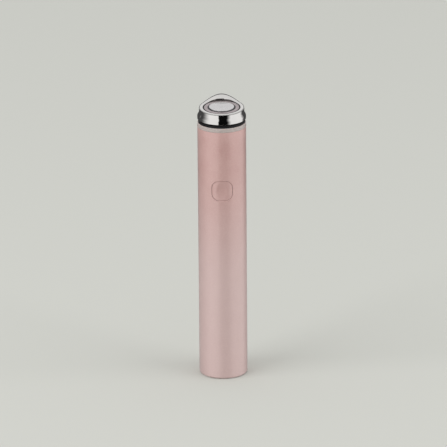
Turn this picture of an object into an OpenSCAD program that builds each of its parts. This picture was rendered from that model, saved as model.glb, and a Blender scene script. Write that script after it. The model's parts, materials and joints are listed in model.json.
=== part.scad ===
// Stick-shaped facial toning device: a slim round barrel that stands upright, with a flush push button
// on its front, a light ring and a polished head with two electrodes on top. The rim of the head rises
// into a narrow treatment tip at the back. Millimetres, +Z up, front towards -Y, origin at the centre of
// the standing edge.

/* [Barrel] */
// Outside diameter of the barrel, light ring and head collar
barrel_d = 23; // [22.4:0.1:24]
// Height of the barrel from the standing edge to the light ring
barrel_len = 124; // [124:0.2:134]
// Thickness of the barrel wall
barrel_wall = 1.5; // [1.3:0.05:1.6]
// Radius of the rounded standing edge
edge_r = 1; // [0.4:0.1:1.1]

/* [Button] */
// Width of the button across the barrel
button_w = 9.6; // [8:0.1:10.6]
// Height of the button along the barrel
button_h = 9.6; // [8.6:0.1:11]
// Corner radius of the button
button_r = 3.4; // [2.4:0.1:4]
// Distance of the button centre below the light ring
button_drop = 29; // [26:0.1:33]
// Gap between the button and its opening
button_gap = 0.2; // [0.12:0.02:0.3]
// Depth of the button's face inside the outside of the barrel
button_inset = 0.2; // [0.16:0.02:0.3]
// Depth of the finger dish in the button's face
button_dish = 0.3; // [0.2:0.05:0.4]
// Travel of the button
button_travel = 0.4; // [0.25:0.05:0.5]

/* [Head] */
// Height of the light ring that shows
light_h = 2; // [1.2:0.1:3]
// Wall of the light ring's spigot, which plugs into the barrel
light_wall = 1.45; // [1.2:0.05:1.8]
// Height of the dark gasket under the head
gasket_h = 1.1; // [0.6:0.1:1.3]
// Height of the head at the front of its rim
head_h = 5.4; // [5.2:0.1:7]
// Height of the wide collar at the foot of the head
collar_h = 2; // [1.8:0.1:2.4]
// Step from the collar in to the neck
neck_step = 0.8; // [0.6:0.05:0.9]
// Tilt of the treatment face towards the front, in degrees
face_tilt = 3.4; // [0:0.2:5]
// Radius of the curve that lifts the rim to the tip
tip_r = 8; // [7:0.2:11]
// Distance behind the centre at which the rim starts to lift
tip_start = 4.8; // [3.4:0.2:6]
// Width of the rim round the electrodes, from the outside of the collar
rim_w = 2.6; // [2.5:0.05:2.9]
// Depth of the electrodes below the rim
face_sink = 0.05; // [0.05:0.05:0.3]
// Width of the ring electrode
ring_w = 1.7; // [1.5:0.05:1.9]
// Width of the insulator between the two electrodes
insulator_w = 0.6; // [0.4:0.05:0.9]
// Thickness of both electrodes
electrode_t = 1.5; // [1.2:0.1:1.7]

/* [Base] */
// Depth of the end cap inside the standing edge
cap_recess = 0.2; // [0.1:0.05:0.4]
// Thickness of the end cap
cap_t = 2; // [1.6:0.1:2.4]
// Width of the charging port shell
port_w = 8.94; // [8.7:0.02:9.1]
// Height of the charging port shell
port_h = 3.26; // [3.1:0.02:3.4]
// Length of the charging port shell
port_len = 7.3; // [6.5:0.1:8]
// Wall of the charging port shell
port_wall = 0.3; // [0.2:0.05:0.35]

/* [Inside] */
// Clearance between the frame and the barrel bore
slide_gap = 0.1; // [0.06:0.02:0.2]
// Wall of the inner frame
frame_wall = 1; // [0.8:0.1:1.2]
// Thickness of the ribs across the frame
rib_t = 1.2; // [1:0.1:1.6]
// Battery diameter
battery_d = 10.4; // [10:0.1:11.5]
// Battery length
battery_len = 44; // [40:0.5:47]
// Thickness of the foam pad between battery and board
pad_t = 0.5; // [0.4:0.05:0.7]
// Room in front of the main board, up to the barrel bore
front_room = 4.1; // [3.8:0.1:4.6]
// Thickness of the main board
board_t = 1; // [0.8:0.1:1.2]
// Height of the switch body on the main board
switch_h = 1.5; // [1.2:0.1:1.7]
// Motor diameter
motor_d = 7; // [6:0.1:7.4]
// Motor length
motor_len = 11; // [9:0.5:12]
// Radius of the motor weight
weight_r = 3.1; // [2.6:0.1:3.4]
// Number of lamps under the light ring
lamp_count = 12; // [8:1:16]

/* [Hidden] */
$fn = 96;
EPS = 0.5;               // how far a cutter runs past the face that it cuts
fit = 0.05;              // clearance of a pressed-in or soldered piece
thin_fit = 0.02;         // clearance of a screw, a squeezed seal or a moulding pressed into a shell

// Radii from the outside in
barrel_r = barrel_d / 2;
bore_r = barrel_r - barrel_wall;
frame_r = bore_r - slide_gap;
frame_in_r = frame_r - frame_wall;

// End cap, its seal and its snap hooks
cap_top = cap_recess + cap_t;
spigot_h = 4.4;
spigot_wall = 1.6;
spigot_top = cap_top + spigot_h;
seal_groove_w = 1.4;
seal_groove_depth = 0.8;
cap_seal_z = cap_top + 1.9;
arm_t = 1.1;
arm_gap = 0.15;
arm_r = frame_in_r - arm_gap;
arm_angle = 24;
arm_h = 4.6;
arm_top = spigot_top + arm_h;
hook_h = 1.1;
hook_out = 0.6;
window_h = hook_h + 0.5;

// Charging port and its board
port_r = 1.55;
port_recess = 0.5;
port_z = cap_recess + port_recess;
port_slot_gap = 0.15;
port_lead_in = 0.35;
port_lead_w = 0.55;
port_back_t = 1.6;
tongue_w = 6.69;
tongue_t = 0.7;
tongue_len = 4.45;
contact_count = 12;
contact_pitch = 0.5;
contact_w = 0.25;
contact_t = 0.05;
charge_board_w = 12;
charge_board_t = 0.8;
charge_board_z = cap_top + 0.2;
charge_board_h = 14.1;
charge_board_top = charge_board_z + charge_board_h;
charge_front_y = -port_h / 2 - charge_board_t;

// Depth of the inside, from the main board at the front to the battery behind it
board_gap = 0.25;
board_front_y = front_room - bore_r;
board_back_y = board_front_y + board_t;
board_w = 2 * sqrt(pow(bore_r - board_gap, 2) - pow(board_front_y, 2));
battery_r = battery_d / 2;
battery_gap = 0.1;
battery_y = board_back_y + pad_t + fit + battery_r;

// Screw posts of the frame
post_r = 1.6;
post_edge = 2.2;
post_x = board_w / 2 - post_edge;
post_bite = 0.3;
pilot_r = 0.8;
pilot_depth = 5;

// Heights from the standing edge up
header_h = 2.5;
header_w = 10;
header_drop = 0.5;
header_z = charge_board_top - header_h;
board_z = header_z - header_drop;
low_post_z = charge_board_top + 2 * fit + post_r;
low_rib_z = low_post_z + post_r - post_bite;
tab_t = 0.2;
tab_w = 4;
tab_turn = 3.5;
battery_z = low_rib_z + rib_t + tab_t + 2 * fit;
nub_h = 0.5;
nub_share = 0.2;         // radius of the battery's top contact, as a share of the diameter
crimp_h = 0.6;
crimp_depth = 0.25;
crimp_drop = 1;
pad_w = 8;
pad_end = 6;
battery_top = battery_z + battery_len;
mid_rib_z = battery_top + nub_h + tab_t + 2 * fit;
mid_post_z = mid_rib_z + rib_t + post_r - post_bite;

// Heights from the light ring down
ring_spigot_h = 3.9;
lamp_gap = 0.3;
lamp_h = 0.6;
lamp_board_t = 0.8;
lamp_board_z = barrel_len - ring_spigot_h - lamp_gap - lamp_h - lamp_board_t;
frame_top = lamp_board_z;
top_rib_z = frame_top - rib_t;
board_drop = 0.2;
board_top = frame_top - board_drop;
high_post_drop = 8.6;
high_post_z = frame_top - high_post_drop;
post_heights = [low_post_z, mid_post_z, high_post_z];
button_z = barrel_len - button_drop;

// Windows and battery cradles in the back of the frame
window_rows = 6;
window_pitch = battery_len / window_rows;
window_size = 5;
window_r = 1;
snap_gap = 0.2;

// Vibration motor
motor_drop = 9.6;
motor_top = frame_top - motor_drop;
motor_z = motor_top - motor_len;
motor_r = motor_d / 2;
bearing_h = 0.4;
bearing_r = 0.42 * motor_r;
boot_t = 0.55;
boot_inset = 1.2;
lead_r = 0.35;
lead_x = 1.2;
lead_drop = 1.8;
lead_y_step = 0.6;
boot_r = motor_r + fit + boot_t;
cradle_wall = 1.3;
motor_y = frame_in_r - boot_r - cradle_wall;
shaft_r = 0.5;
shaft_gap = 0.05;
shaft_seat = 6.5;
shaft_end_gap = 0.2;
press_fit = 0.01;
weight_gap = 0.7;
weight_z = motor_top + weight_gap;
weight_h = 5;
hub_r = 1.2;
cradle_inset = 2.2;
cradle_z = [motor_z + cradle_inset, motor_top - cradle_inset - rib_t];

// Transformer of the pulse circuit, on the back of the main board
core_w = 8;
core_h = 9;
core_depth = 5.6;
core_leg = 1.6;
core_gap = 2;
core_z = mid_post_z + post_r + core_gap;
coil_layers = 5;
coil_gap = 0.2;
coil_front = 0.3;
coil_back = 0.8;

// Parts on the front of the main board
chip_heights = [12, 26, 40, 54];
chip_sizes = [[3, 3, 0.8], [5, 5, 1], [4, 5, 0.9], [5, 4, 1.2]];
passive_rows = [16, 19, 31, 34, 45, 48, 59, 62];
passive_pitch = 1.8;
passive_size = [1, 0.6, 1.6];

// Button inside the barrel
ear_out = 0.9;
ear_t = 0.8;
ear_w = 7;
button_shell = 1.15;
rib_inset = 0.4;
switch_w = 4.5;
switch_floor = 0.3;
stem_r = 1.1;
stem_out = 0.5;
stem_gap = 0.05;
stem_end_gap = 0.1;
switch_front_y = board_front_y - switch_h;
stem_front_y = switch_front_y - stem_out;
plunger_r = 1.5;
dish_r = 30;

// Head stack
light_z = barrel_len;
light_in_r = frame_r - light_wall;
gasket_z = light_z + light_h;
gasket_inset = 0.35;
shell_wall = 1.55;
head_z = gasket_z + gasket_h;
shell_cavity_r = barrel_r - shell_wall;
shell_cavity_h = 2.6;
neck_r = barrel_r - neck_step;
shoulder_h = 1.9;
shoulder_slope = 30;
shoulder_bend = 1 - cos(shoulder_slope);
shoulder_r = (shoulder_h * sin(shoulder_slope) - neck_step * cos(shoulder_slope)) / (2 * shoulder_bend);
foot_bevel = 0.8;
rim_front_z = head_z + head_h;
face_z = rim_front_z + neck_r * tan(face_tilt);
tip_room = 6;
carrier_gap = 0.1;
carrier_r = light_in_r - carrier_gap;
carrier_drop = 1.2;
carrier_z = barrel_len - carrier_drop;
carrier_flange_r = shell_cavity_r - carrier_gap;
carrier_flange_top = head_z + shell_cavity_h - carrier_gap;
carrier_pocket_wall = 0.6;
carrier_roof_h = 1.2;
carrier_roof_z = gasket_z + carrier_roof_h;
carrier_neck_h = 2.8;
face_seal_w = 0.55;
face_seal_sink = 0.1;
well_r = barrel_r - rim_w;
ring_out_r = well_r - face_seal_w - 2 * thin_fit;
ring_in_r = ring_out_r - ring_w;
centre_r = ring_in_r - insulator_w - 2 * fit;
seat_w = -face_sink - electrode_t;
insulator_sink = 0.3;
centre_rise = 0.2;
// The rim's inner side is coned from this height above the face up to the tip
flank_foot = 0.9;
flank_slope = 1.28;
flank_h = 5;
dome_h = 0.15;
dome_r = (centre_r * centre_r + dome_h * dome_h) / (2 * dome_h);
stem_pitch_r = (ring_out_r + ring_in_r) / 2;
ring_stem_r = 0.5;
centre_stem_r = 1.2;
centre_boss_r = centre_stem_r + 0.9;
carrier_pocket_r = stem_pitch_r - ring_stem_r - carrier_pocket_wall;
stem_proud = 0.4;
stem_end_z = carrier_z - stem_proud;
ring_stem_angles = [30, 150, 270];
head_screw_angles = [90, 210, 330];
head_screw_pitch_r = 4.6;
head_boss_r = 1.7;
screw_end_gap = 0.2;
head_screw_drop = 1;
pin_body_r = 0.75;
pin_tip_r = 0.45;
pin_body_h = 1.8;
lamp_pitch_r = (frame_r + light_in_r) / 2;
lamp_size = [1.6, 0.8];

// Screws
screw_r = 0.75;
screw_head_r = 1.35;
screw_head_h = 0.9;
screw_slot_w = 0.4;
screw_slot_depth = 0.4;
board_screw_len = 4.5;

// Flex cable from the main board to the lamp board
flex_w = 5;
flex_t = 0.2;
flex_gap = 0.3;
flex_room = 1;
socket_t = 1;
flex_y = board_back_y + socket_t;
socket_edge = 0.2;
socket_h = 2.4;
socket_rise = 1.2;
flex_socket_z = high_post_z + socket_rise;

// ---------------------------------------------------------------- shared shapes

// Upright tube or disc between two heights
module tube(r_out, r_in, z0, z1) {
    translate([0, 0, z0])
        difference() {
            cylinder(r = r_out, h = z1 - z0);
            if (r_in > 0)
                translate([0, 0, -EPS]) cylinder(r = r_in, h = z1 - z0 + 2 * EPS);
        }
}

// Rectangle with round corners, centred
module round_rect(w, h, r) {
    square([w - 2 * r, h], center = true);
    square([w, h - 2 * r], center = true);
    for (sx = [-1, 1], sy = [-1, 1])
        translate([sx * (w / 2 - r), sy * (h / 2 - r)]) circle(r = r);
}

// Block between two corners
module block(a, b) {
    translate(a) cube(b - a);
}

// Extrudes an outline drawn in X and Z along Y, from y0 to y1
module along_y(y0, y1) {
    translate([0, y1, 0]) rotate([90, 0, 0]) linear_extrude(y1 - y0) children();
}

// Extrudes an outline drawn in Y and Z along X, centred
module along_x(w) {
    rotate([90, 0, 90]) linear_extrude(w, center = true) children();
}

// Places children in the tilted frame of the treatment face
module on_face() {
    translate([0, 0, face_z]) rotate([face_tilt, 0, 0]) children();
}

// Copies children round the Z axis
module around(angles) {
    for (a = angles) rotate([0, 0, a]) children();
}

// O-ring of section radius r on centre line radius ring_r
module o_ring(ring_r, r, z) {
    translate([0, 0, z]) rotate_extrude() translate([ring_r, 0]) circle(r = r, $fn = 32);
}

// Pan-head screw along +Z: its head from 0 down, its shank from 0 up
module screw(len) {
    difference() {
        union() {
            translate([0, 0, -screw_head_h]) cylinder(r = screw_head_r, h = screw_head_h, $fn = 32);
            cylinder(r = screw_r, h = len - screw_r / 2, $fn = 32);
            translate([0, 0, len - screw_r / 2])
                cylinder(r1 = screw_r, r2 = screw_r / 2, h = screw_r / 2, $fn = 32);
        }
        for (a = [0, 90])
            rotate([0, 0, a])
                translate([-screw_head_r * 0.6, -screw_slot_w / 2, -screw_head_h - EPS])
                    cube([screw_head_r * 1.2, screw_slot_w, screw_slot_depth + EPS]);
    }
}

// ---------------------------------------------------------------- barrel and base

module barrel() {
    color("#e3b9b4")
        difference() {
            rotate_extrude() {
                translate([bore_r, edge_r]) square([barrel_wall, barrel_len - edge_r]);
                translate([bore_r, 0]) square([barrel_wall - edge_r, edge_r + EPS]);
                intersection() {
                    translate([barrel_r - edge_r, edge_r]) circle(r = edge_r);
                    translate([barrel_r - edge_r, 0]) square([edge_r, edge_r + EPS]);
                }
            }
            along_y(-barrel_r - EPS, -bore_r / 2)
                translate([0, button_z])
                    round_rect(button_w + 2 * button_gap, button_h + 2 * button_gap, button_r + button_gap);
        }
}

module base_cap() {
    groove_r = frame_r - seal_groove_depth;
    color("#dcb0ab")
        difference() {
            union() {
                tube(frame_r, 0, cap_recess, cap_top);
                tube(frame_r, frame_r - spigot_wall, cap_top - fit, spigot_top);
                snap_arms();
            }
            tube(frame_r + EPS, groove_r, cap_seal_z - seal_groove_w / 2, cap_seal_z + seal_groove_w / 2);
            translate([0, 0, cap_recess - EPS]) {
                linear_extrude(cap_t + 2 * EPS) port_outline(port_slot_gap);
                linear_extrude(port_lead_in + EPS) port_outline(port_lead_w);
            }
        }
}

// Outline of the charging port, wider all round by a margin
module port_outline(margin) {
    round_rect(port_w + 2 * margin, port_h + 2 * margin, port_r + margin);
}

// Two arms of the end cap that hook into windows low in the frame
module snap_arms() {
    reach = arm_r * sin(arm_angle / 2);
    for (side = [-1, 1])
        intersection() {
            union() {
                tube(arm_r, arm_r - arm_t, cap_top - fit, arm_top);
                tube(arm_r + hook_out, arm_r - arm_t, arm_top - hook_h, arm_top);
            }
            block([side > 0 ? 0 : -barrel_r, -reach, 0], [side > 0 ? barrel_r : 0, reach, arm_top]);
        }
}

module base_seal() {
    groove_r = frame_r - seal_groove_depth;
    color("#26262a") o_ring((groove_r + bore_r) / 2, (bore_r - groove_r) / 2 - thin_fit, cap_seal_z);
}

// ---------------------------------------------------------------- charging port

module port_shell() {
    color("#c8c9cc")
        translate([0, 0, port_z])
            linear_extrude(port_len)
                difference() {
                    port_outline(0);
                    port_outline(-port_wall);
                }
}

module port_tongue() {
    back_z = port_z + port_len - port_back_t;
    inset = port_wall + thin_fit;
    color("#1d1d20") {
        translate([0, 0, back_z])
            linear_extrude(port_back_t) port_outline(-inset);
        block(
            [-tongue_w / 2, -tongue_t / 2, back_z - tongue_len],
            [tongue_w / 2, tongue_t / 2, back_z + fit]
        );
    }
}

// Two rows of flat contacts on the faces of the tongue
module port_contacts() {
    back_z = port_z + port_len - port_back_t;
    row_w = (contact_count - 1) * contact_pitch;
    color("#d9b25c")
        for (side = [-1, 1], i = [0 : contact_count - 1])
            translate([i * contact_pitch - row_w / 2, side * (tongue_t + contact_t) / 2, back_z])
                translate([0, 0, -tongue_len / 2])
                    cube([contact_w, contact_t, tongue_len - 1], center = true);
}

module charge_board() {
    color("#2f6b4a")
        block(
            [-charge_board_w / 2, charge_front_y, charge_board_z],
            [charge_board_w / 2, charge_front_y + charge_board_t, charge_board_top]
        );
}

// Pin header that carries the charge board on the back of the main board
module board_header() {
    pins = 5;
    pitch = 2;
    groove_w = 0.25;
    groove_depth = 0.5;
    groove_z = charge_board_top - groove_depth;
    depth = charge_front_y - board_back_y;
    color("#202024")
        difference() {
            block(
                [-header_w / 2, board_back_y, header_z],
                [header_w / 2, charge_front_y, charge_board_top]
            );
            for (i = [0 : pins - 1])
                translate([(i - pins / 2 + 1) * pitch, board_back_y - EPS, groove_z])
                    cube([groove_w, depth + 2 * EPS, groove_depth + EPS]);
        }
}

// ---------------------------------------------------------------- inner frame and battery

module frame() {
    battery_ribs = [for (i = [1 : window_rows - 1]) battery_z + window_pitch * i - rib_t / 2];
    rib_heights = concat([low_rib_z, mid_rib_z, top_rib_z], cradle_z, battery_ribs);
    color("#d9dadd")
        difference() {
            intersection() {
                union() {
                    tube(frame_r, frame_in_r, spigot_top, frame_top);
                    for (z = rib_heights)
                        tube(frame_in_r + frame_wall / 2, 0, z, z + rib_t);
                    for (z = post_heights, side = [-1, 1])
                        translate([side * post_x, 0, z])
                            rotate([90, 0, 0]) cylinder(r = post_r, h = 2 * barrel_d, center = true);
                }
                cylinder(r = frame_r, h = frame_top);
                block([-barrel_r, board_back_y, 0], [barrel_r, barrel_r, frame_top]);
            }
            for (z = post_heights, side = [-1, 1])
                translate([side * post_x, board_back_y - EPS, z])
                    rotate([-90, 0, 0]) cylinder(r = pilot_r, h = pilot_depth + EPS, $fn = 32);
            for (side = [-1, 1]) snap_window(side);
            battery_room();
            translate([0, motor_y, cradle_z[0] - EPS])
                cylinder(r = boot_r + fit, h = cradle_z[1] + rib_t - cradle_z[0] + 2 * EPS);
            around(head_screw_angles)
                translate([head_screw_pitch_r, 0, top_rib_z - EPS])
                    cylinder(r = screw_r + thin_fit, h = rib_t + 2 * EPS, $fn = 32);
            block(
                [-flex_w / 2 - flex_gap, board_back_y - EPS, top_rib_z - EPS],
                [flex_w / 2 + flex_gap, flex_y + flex_room, frame_top + EPS]
            );
            for (i = [0 : window_rows - 1])
                along_y(frame_in_r / 2, barrel_r)
                    translate([0, battery_z + window_pitch * (i + 0.5)])
                        round_rect(window_size, window_size, window_r);
        }
}

// U-shaped room for the battery between the low rib and the middle one
module battery_room() {
    room_r = battery_r + battery_gap;
    low_z = low_rib_z + rib_t;
    translate([0, battery_y, low_z]) cylinder(r = room_r, h = mid_rib_z - low_z);
    block([-room_r, board_back_y - EPS, low_z], [room_r, battery_y, mid_rib_z]);
}

// Window in the frame that a hook of the end cap snaps into
module snap_window(side) {
    reach = arm_r * sin(arm_angle / 2) + snap_gap;
    block(
        [side > 0 ? frame_in_r / 2 : -barrel_r, -reach, arm_top - window_h],
        [side > 0 ? barrel_r : -frame_in_r / 2, reach, arm_top + snap_gap]
    );
}

module battery_cell() {
    crimp_z = battery_len - crimp_drop - crimp_h;
    color("#3d6fae")
        translate([0, battery_y, battery_z]) {
            difference() {
                cylinder(r = battery_r, h = battery_len);
                tube(battery_r + EPS, battery_r - crimp_depth, crimp_z, crimp_z + crimp_h);
            }
            translate([0, 0, battery_len - fit])
                cylinder(r = battery_d * nub_share, h = nub_h + fit, $fn = 48);
        }
}

// Nickel strips from the two ends of the battery to the back of the main board
module battery_tabs() {
    tab_y = board_back_y + thin_fit;
    lower_z = battery_z - fit - tab_t;
    upper_z = battery_top + nub_h + fit;
    color("#b9b7b0")
        for (z = [lower_z, upper_z]) {
            block([-tab_w / 2, tab_y, z], [tab_w / 2, battery_y + tab_w / 2, z + tab_t]);
            if (z == lower_z) block([-tab_w / 2, tab_y, z], [tab_w / 2, tab_y + tab_t, z + tab_turn]);
            else block([-tab_w / 2, tab_y, z - tab_turn], [tab_w / 2, tab_y + tab_t, z + tab_t]);
        }
}

module battery_pad() {
    color("#3a3a3d")
        block(
            [-pad_w / 2, board_back_y + thin_fit, battery_z + pad_end],
            [pad_w / 2, board_back_y + pad_t, battery_top - pad_end]
        );
}

// ---------------------------------------------------------------- main board

module main_board() {
    color("#2f6b4a")
        difference() {
            block([-board_w / 2, board_front_y, board_z], [board_w / 2, board_back_y, board_top]);
            for (z = post_heights, side = [-1, 1])
                translate([side * post_x, board_front_y - EPS, z])
                    rotate([-90, 0, 0]) cylinder(r = screw_r + thin_fit, h = board_t + 2 * EPS, $fn = 32);
        }
}

// Chips on the front of the main board, one above the other
module board_chips() {
    color("#232327")
        for (i = [0 : len(chip_heights) - 1]) {
            c = chip_sizes[i];
            z = board_z + chip_heights[i];
            block([-c[0] / 2, board_front_y - c[2], z - c[1] / 2], [c[0] / 2, board_front_y, z + c[1] / 2]);
        }
}

// Rows of four small resistors and capacitors between the chips
module board_passives() {
    s = passive_size;
    color("#b59f7c")
        for (z = passive_rows, column = [-1.5 : 1 : 1.5])
            translate([column * passive_pitch - s[0] / 2, board_front_y - s[1], board_z + z]) cube(s);
}

module board_screws() {
    color("#aeb1b5")
        for (z = post_heights, side = [-1, 1])
            translate([side * post_x, board_front_y, z]) rotate([-90, 0, 0]) screw(board_screw_len);
}

module transformer_core() {
    color("#3b3b40")
        difference() {
            block(
                [-core_w / 2, board_back_y, core_z],
                [core_w / 2, board_back_y + core_depth, core_z + core_h]
            );
            for (side = [-1, 1])
                block(
                    [
                        side > 0 ? core_leg / 2 : core_leg - core_w / 2,
                        board_back_y - EPS,
                        core_z + core_leg
                    ],
                    [
                        side > 0 ? core_w / 2 - core_leg : -core_leg / 2,
                        board_back_y + core_depth + EPS,
                        core_z + core_h - core_leg
                    ]
                );
        }
}

// Copper winding on the middle leg of the core, a stack of flat turns
module transformer_coil() {
    room = core_w / 2 - core_leg - core_leg / 2 - coil_gap;
    coil_h = core_h - 2 * core_leg - 2 * coil_gap;
    turn_h = coil_h / coil_layers;
    turn_y = [board_back_y + coil_front, board_back_y + core_depth + coil_back];
    color("#b5713c")
        for (i = [0 : coil_layers - 1])
            difference() {
                z = core_z + core_leg + coil_gap + i * turn_h;
                block([-core_leg / 2 - room, turn_y[0], z], [core_leg / 2 + room, turn_y[1], z + turn_h]);
                block(
                    [-core_leg / 2 - fit, board_back_y - EPS, z - EPS],
                    [core_leg / 2 + fit, board_back_y + core_depth + fit, z + turn_h + EPS]
                );
            }
}

module switch_body() {
    color("#2a2a2e")
        difference() {
            block(
                [-switch_w / 2, switch_front_y, button_z - switch_w / 2],
                [switch_w / 2, board_front_y, button_z + switch_w / 2]
            );
            translate([0, switch_front_y - EPS, button_z])
                rotate([-90, 0, 0])
                    cylinder(r = stem_r + stem_gap, h = switch_h - switch_floor + EPS, $fn = 48);
        }
}

// ---------------------------------------------------------------- button

module switch_stem() {
    stem_in = switch_h - switch_floor - button_travel - stem_end_gap;
    color("#d8d4cc")
        translate([0, stem_front_y, button_z])
            rotate([-90, 0, 0]) cylinder(r = stem_r, h = stem_out + stem_in, $fn = 48);
}

module button_cap() {
    cap_r = barrel_r - button_inset;
    cap_in_r = cap_r - button_shell;
    color("#e3b9b4")
        difference() {
            union() {
                // Face, just inside the outside of the barrel
                intersection() {
                    along_y(-barrel_r - EPS, -bore_r / 2)
                        translate([0, button_z]) round_rect(button_w, button_h, button_r);
                    tube(cap_r, cap_in_r, button_z - button_h, button_z + button_h);
                }
                // Ears above and below, which hold the button in
                intersection() {
                    tube(frame_r, frame_r - ear_t, button_z - button_h, button_z + button_h);
                    block(
                        [-ear_w / 2, -barrel_r, button_z - button_h / 2 - ear_out],
                        [ear_w / 2, 0, button_z + button_h / 2 + ear_out]
                    );
                }
                // Rib that joins the ears to the face
                intersection() {
                    tube(
                        cap_r - button_shell / 2, frame_r - ear_t,
                        button_z - button_h, button_z + button_h
                    );
                    block(
                        [-ear_w / 2 + rib_inset, -barrel_r, button_z - button_h / 2 + rib_inset],
                        [ear_w / 2 - rib_inset, 0, button_z + button_h / 2 - rib_inset]
                    );
                }
                // Plunger that rests on the switch stem
                translate([0, -frame_r + ear_t / 2, button_z])
                    rotate([-90, 0, 0])
                        cylinder(r = plunger_r, h = stem_front_y + frame_r - ear_t / 2, $fn = 48);
            }
            translate([0, -(cap_r - button_dish + dish_r), button_z]) sphere(r = dish_r);
        }
}

// ---------------------------------------------------------------- vibration motor

module motor_can() {
    color("#b4b6ba")
        difference() {
            union() {
                translate([0, motor_y, motor_z]) cylinder(r = motor_r, h = motor_len - bearing_h);
                translate([0, motor_y, motor_top - bearing_h - fit])
                    cylinder(r = bearing_r, h = bearing_h + fit);
            }
            translate([0, motor_y, motor_top - shaft_seat])
                cylinder(r = shaft_r + shaft_gap, h = shaft_seat + EPS, $fn = 48);
        }
}

module motor_boot() {
    color("#2b2b2f")
        translate([0, motor_y, 0])
            tube(boot_r, motor_r + fit, motor_z + boot_inset, motor_top - boot_inset);
}

// Two insulated wires from the foot of the motor to the back of the main board
module motor_leads() {
    lead_z = motor_z - lead_drop;
    lead_y = motor_y - lead_y_step;
    for (side = [-1, 1])
        color(side > 0 ? "#b3262b" : "#2a2a2d")
            translate([side * lead_x, 0, 0]) {
                translate([0, lead_y, lead_z]) cylinder(r = lead_r, h = motor_z - lead_z, $fn = 24);
                translate([0, lead_y, lead_z]) sphere(r = lead_r, $fn = 24);
                translate([0, board_back_y, lead_z])
                    rotate([-90, 0, 0]) cylinder(r = lead_r, h = lead_y - board_back_y, $fn = 24);
            }
}

module motor_shaft() {
    shaft_z = motor_top - shaft_seat + shaft_end_gap;
    color("#d0d2d5")
        translate([0, motor_y, shaft_z]) cylinder(r = shaft_r, h = weight_z + weight_h - shaft_z, $fn = 48);
}

// Half-round weight, pressed on the shaft
module motor_weight() {
    color("#8f7a4a")
        translate([0, motor_y, weight_z])
            difference() {
                union() {
                    intersection() {
                        cylinder(r = weight_r, h = weight_h);
                        translate([-barrel_r, 0, 0]) cube([barrel_d, barrel_r, weight_h]);
                    }
                    cylinder(r = hub_r, h = weight_h, $fn = 48);
                }
                translate([0, 0, -EPS]) cylinder(r = shaft_r + press_fit, h = weight_h + 2 * EPS, $fn = 48);
            }
}

// ---------------------------------------------------------------- lamp board and contacts

// Flat cable from a socket on the back of the main board up to the lamp board
module flex_cable() {
    bend_z = flex_socket_z + socket_h;
    color("#c98a3d") {
        block(
            [-flex_w / 2 - socket_edge, board_back_y, flex_socket_z],
            [flex_w / 2 + socket_edge, board_back_y + socket_t, bend_z]
        );
        block([-flex_w / 2, flex_y - flex_t, bend_z - fit], [flex_w / 2, flex_y, lamp_board_z]);
    }
}

module lamp_board() {
    color("#2f6b4a")
        difference() {
            tube(bore_r - board_gap, 0, lamp_board_z, lamp_board_z + lamp_board_t);
            around(head_screw_angles)
                translate([head_screw_pitch_r, 0, lamp_board_z - EPS])
                    cylinder(r = screw_r + thin_fit, h = lamp_board_t + 2 * EPS, $fn = 32);
        }
}

module lamps() {
    color("#f1efe2")
        around([for (i = [0 : lamp_count - 1]) i * 360 / lamp_count])
            translate([lamp_pitch_r - lamp_size[1] / 2, -lamp_size[0] / 2, lamp_board_z + lamp_board_t])
                cube([lamp_size[1], lamp_size[0], lamp_h]);
}

// Spring pins between the lamp board and the electrode stems
module contact_pins() {
    foot_z = lamp_board_z + lamp_board_t;
    color("#d6b15a")
        for (p = concat([[0, 0]], [for (a = ring_stem_angles) stem_pitch_r * [cos(a), sin(a)]]))
            translate([p[0], p[1], foot_z]) {
                cylinder(r = pin_body_r, h = pin_body_h, $fn = 32);
                translate([0, 0, pin_body_h - fit])
                    cylinder(r = pin_tip_r, h = stem_end_z - foot_z - pin_body_h + fit, $fn = 32);
            }
}

module head_screws() {
    color("#aeb1b5")
        around(head_screw_angles)
            translate([head_screw_pitch_r, 0, top_rib_z]) screw(gasket_z - top_rib_z - head_screw_drop);
}

// ---------------------------------------------------------------- head

module light_ring() {
    groove_r = frame_r - seal_groove_depth;
    seal_z = barrel_len - ring_spigot_h / 2;
    color("#f3ecea")
        difference() {
            union() {
                tube(barrel_r, light_in_r, light_z, light_z + light_h);
                tube(frame_r, light_in_r, light_z - ring_spigot_h, light_z + fit);
            }
            tube(frame_r + EPS, groove_r, seal_z - seal_groove_w / 2, seal_z + seal_groove_w / 2);
        }
}

module head_seal() {
    groove_r = frame_r - seal_groove_depth;
    color("#26262a")
        o_ring((groove_r + bore_r) / 2, (bore_r - groove_r) / 2 - thin_fit, barrel_len - ring_spigot_h / 2);
}

module head_gasket() {
    color("#151517") tube(barrel_r - gasket_inset, shell_cavity_r, gasket_z, head_z);
}

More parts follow.
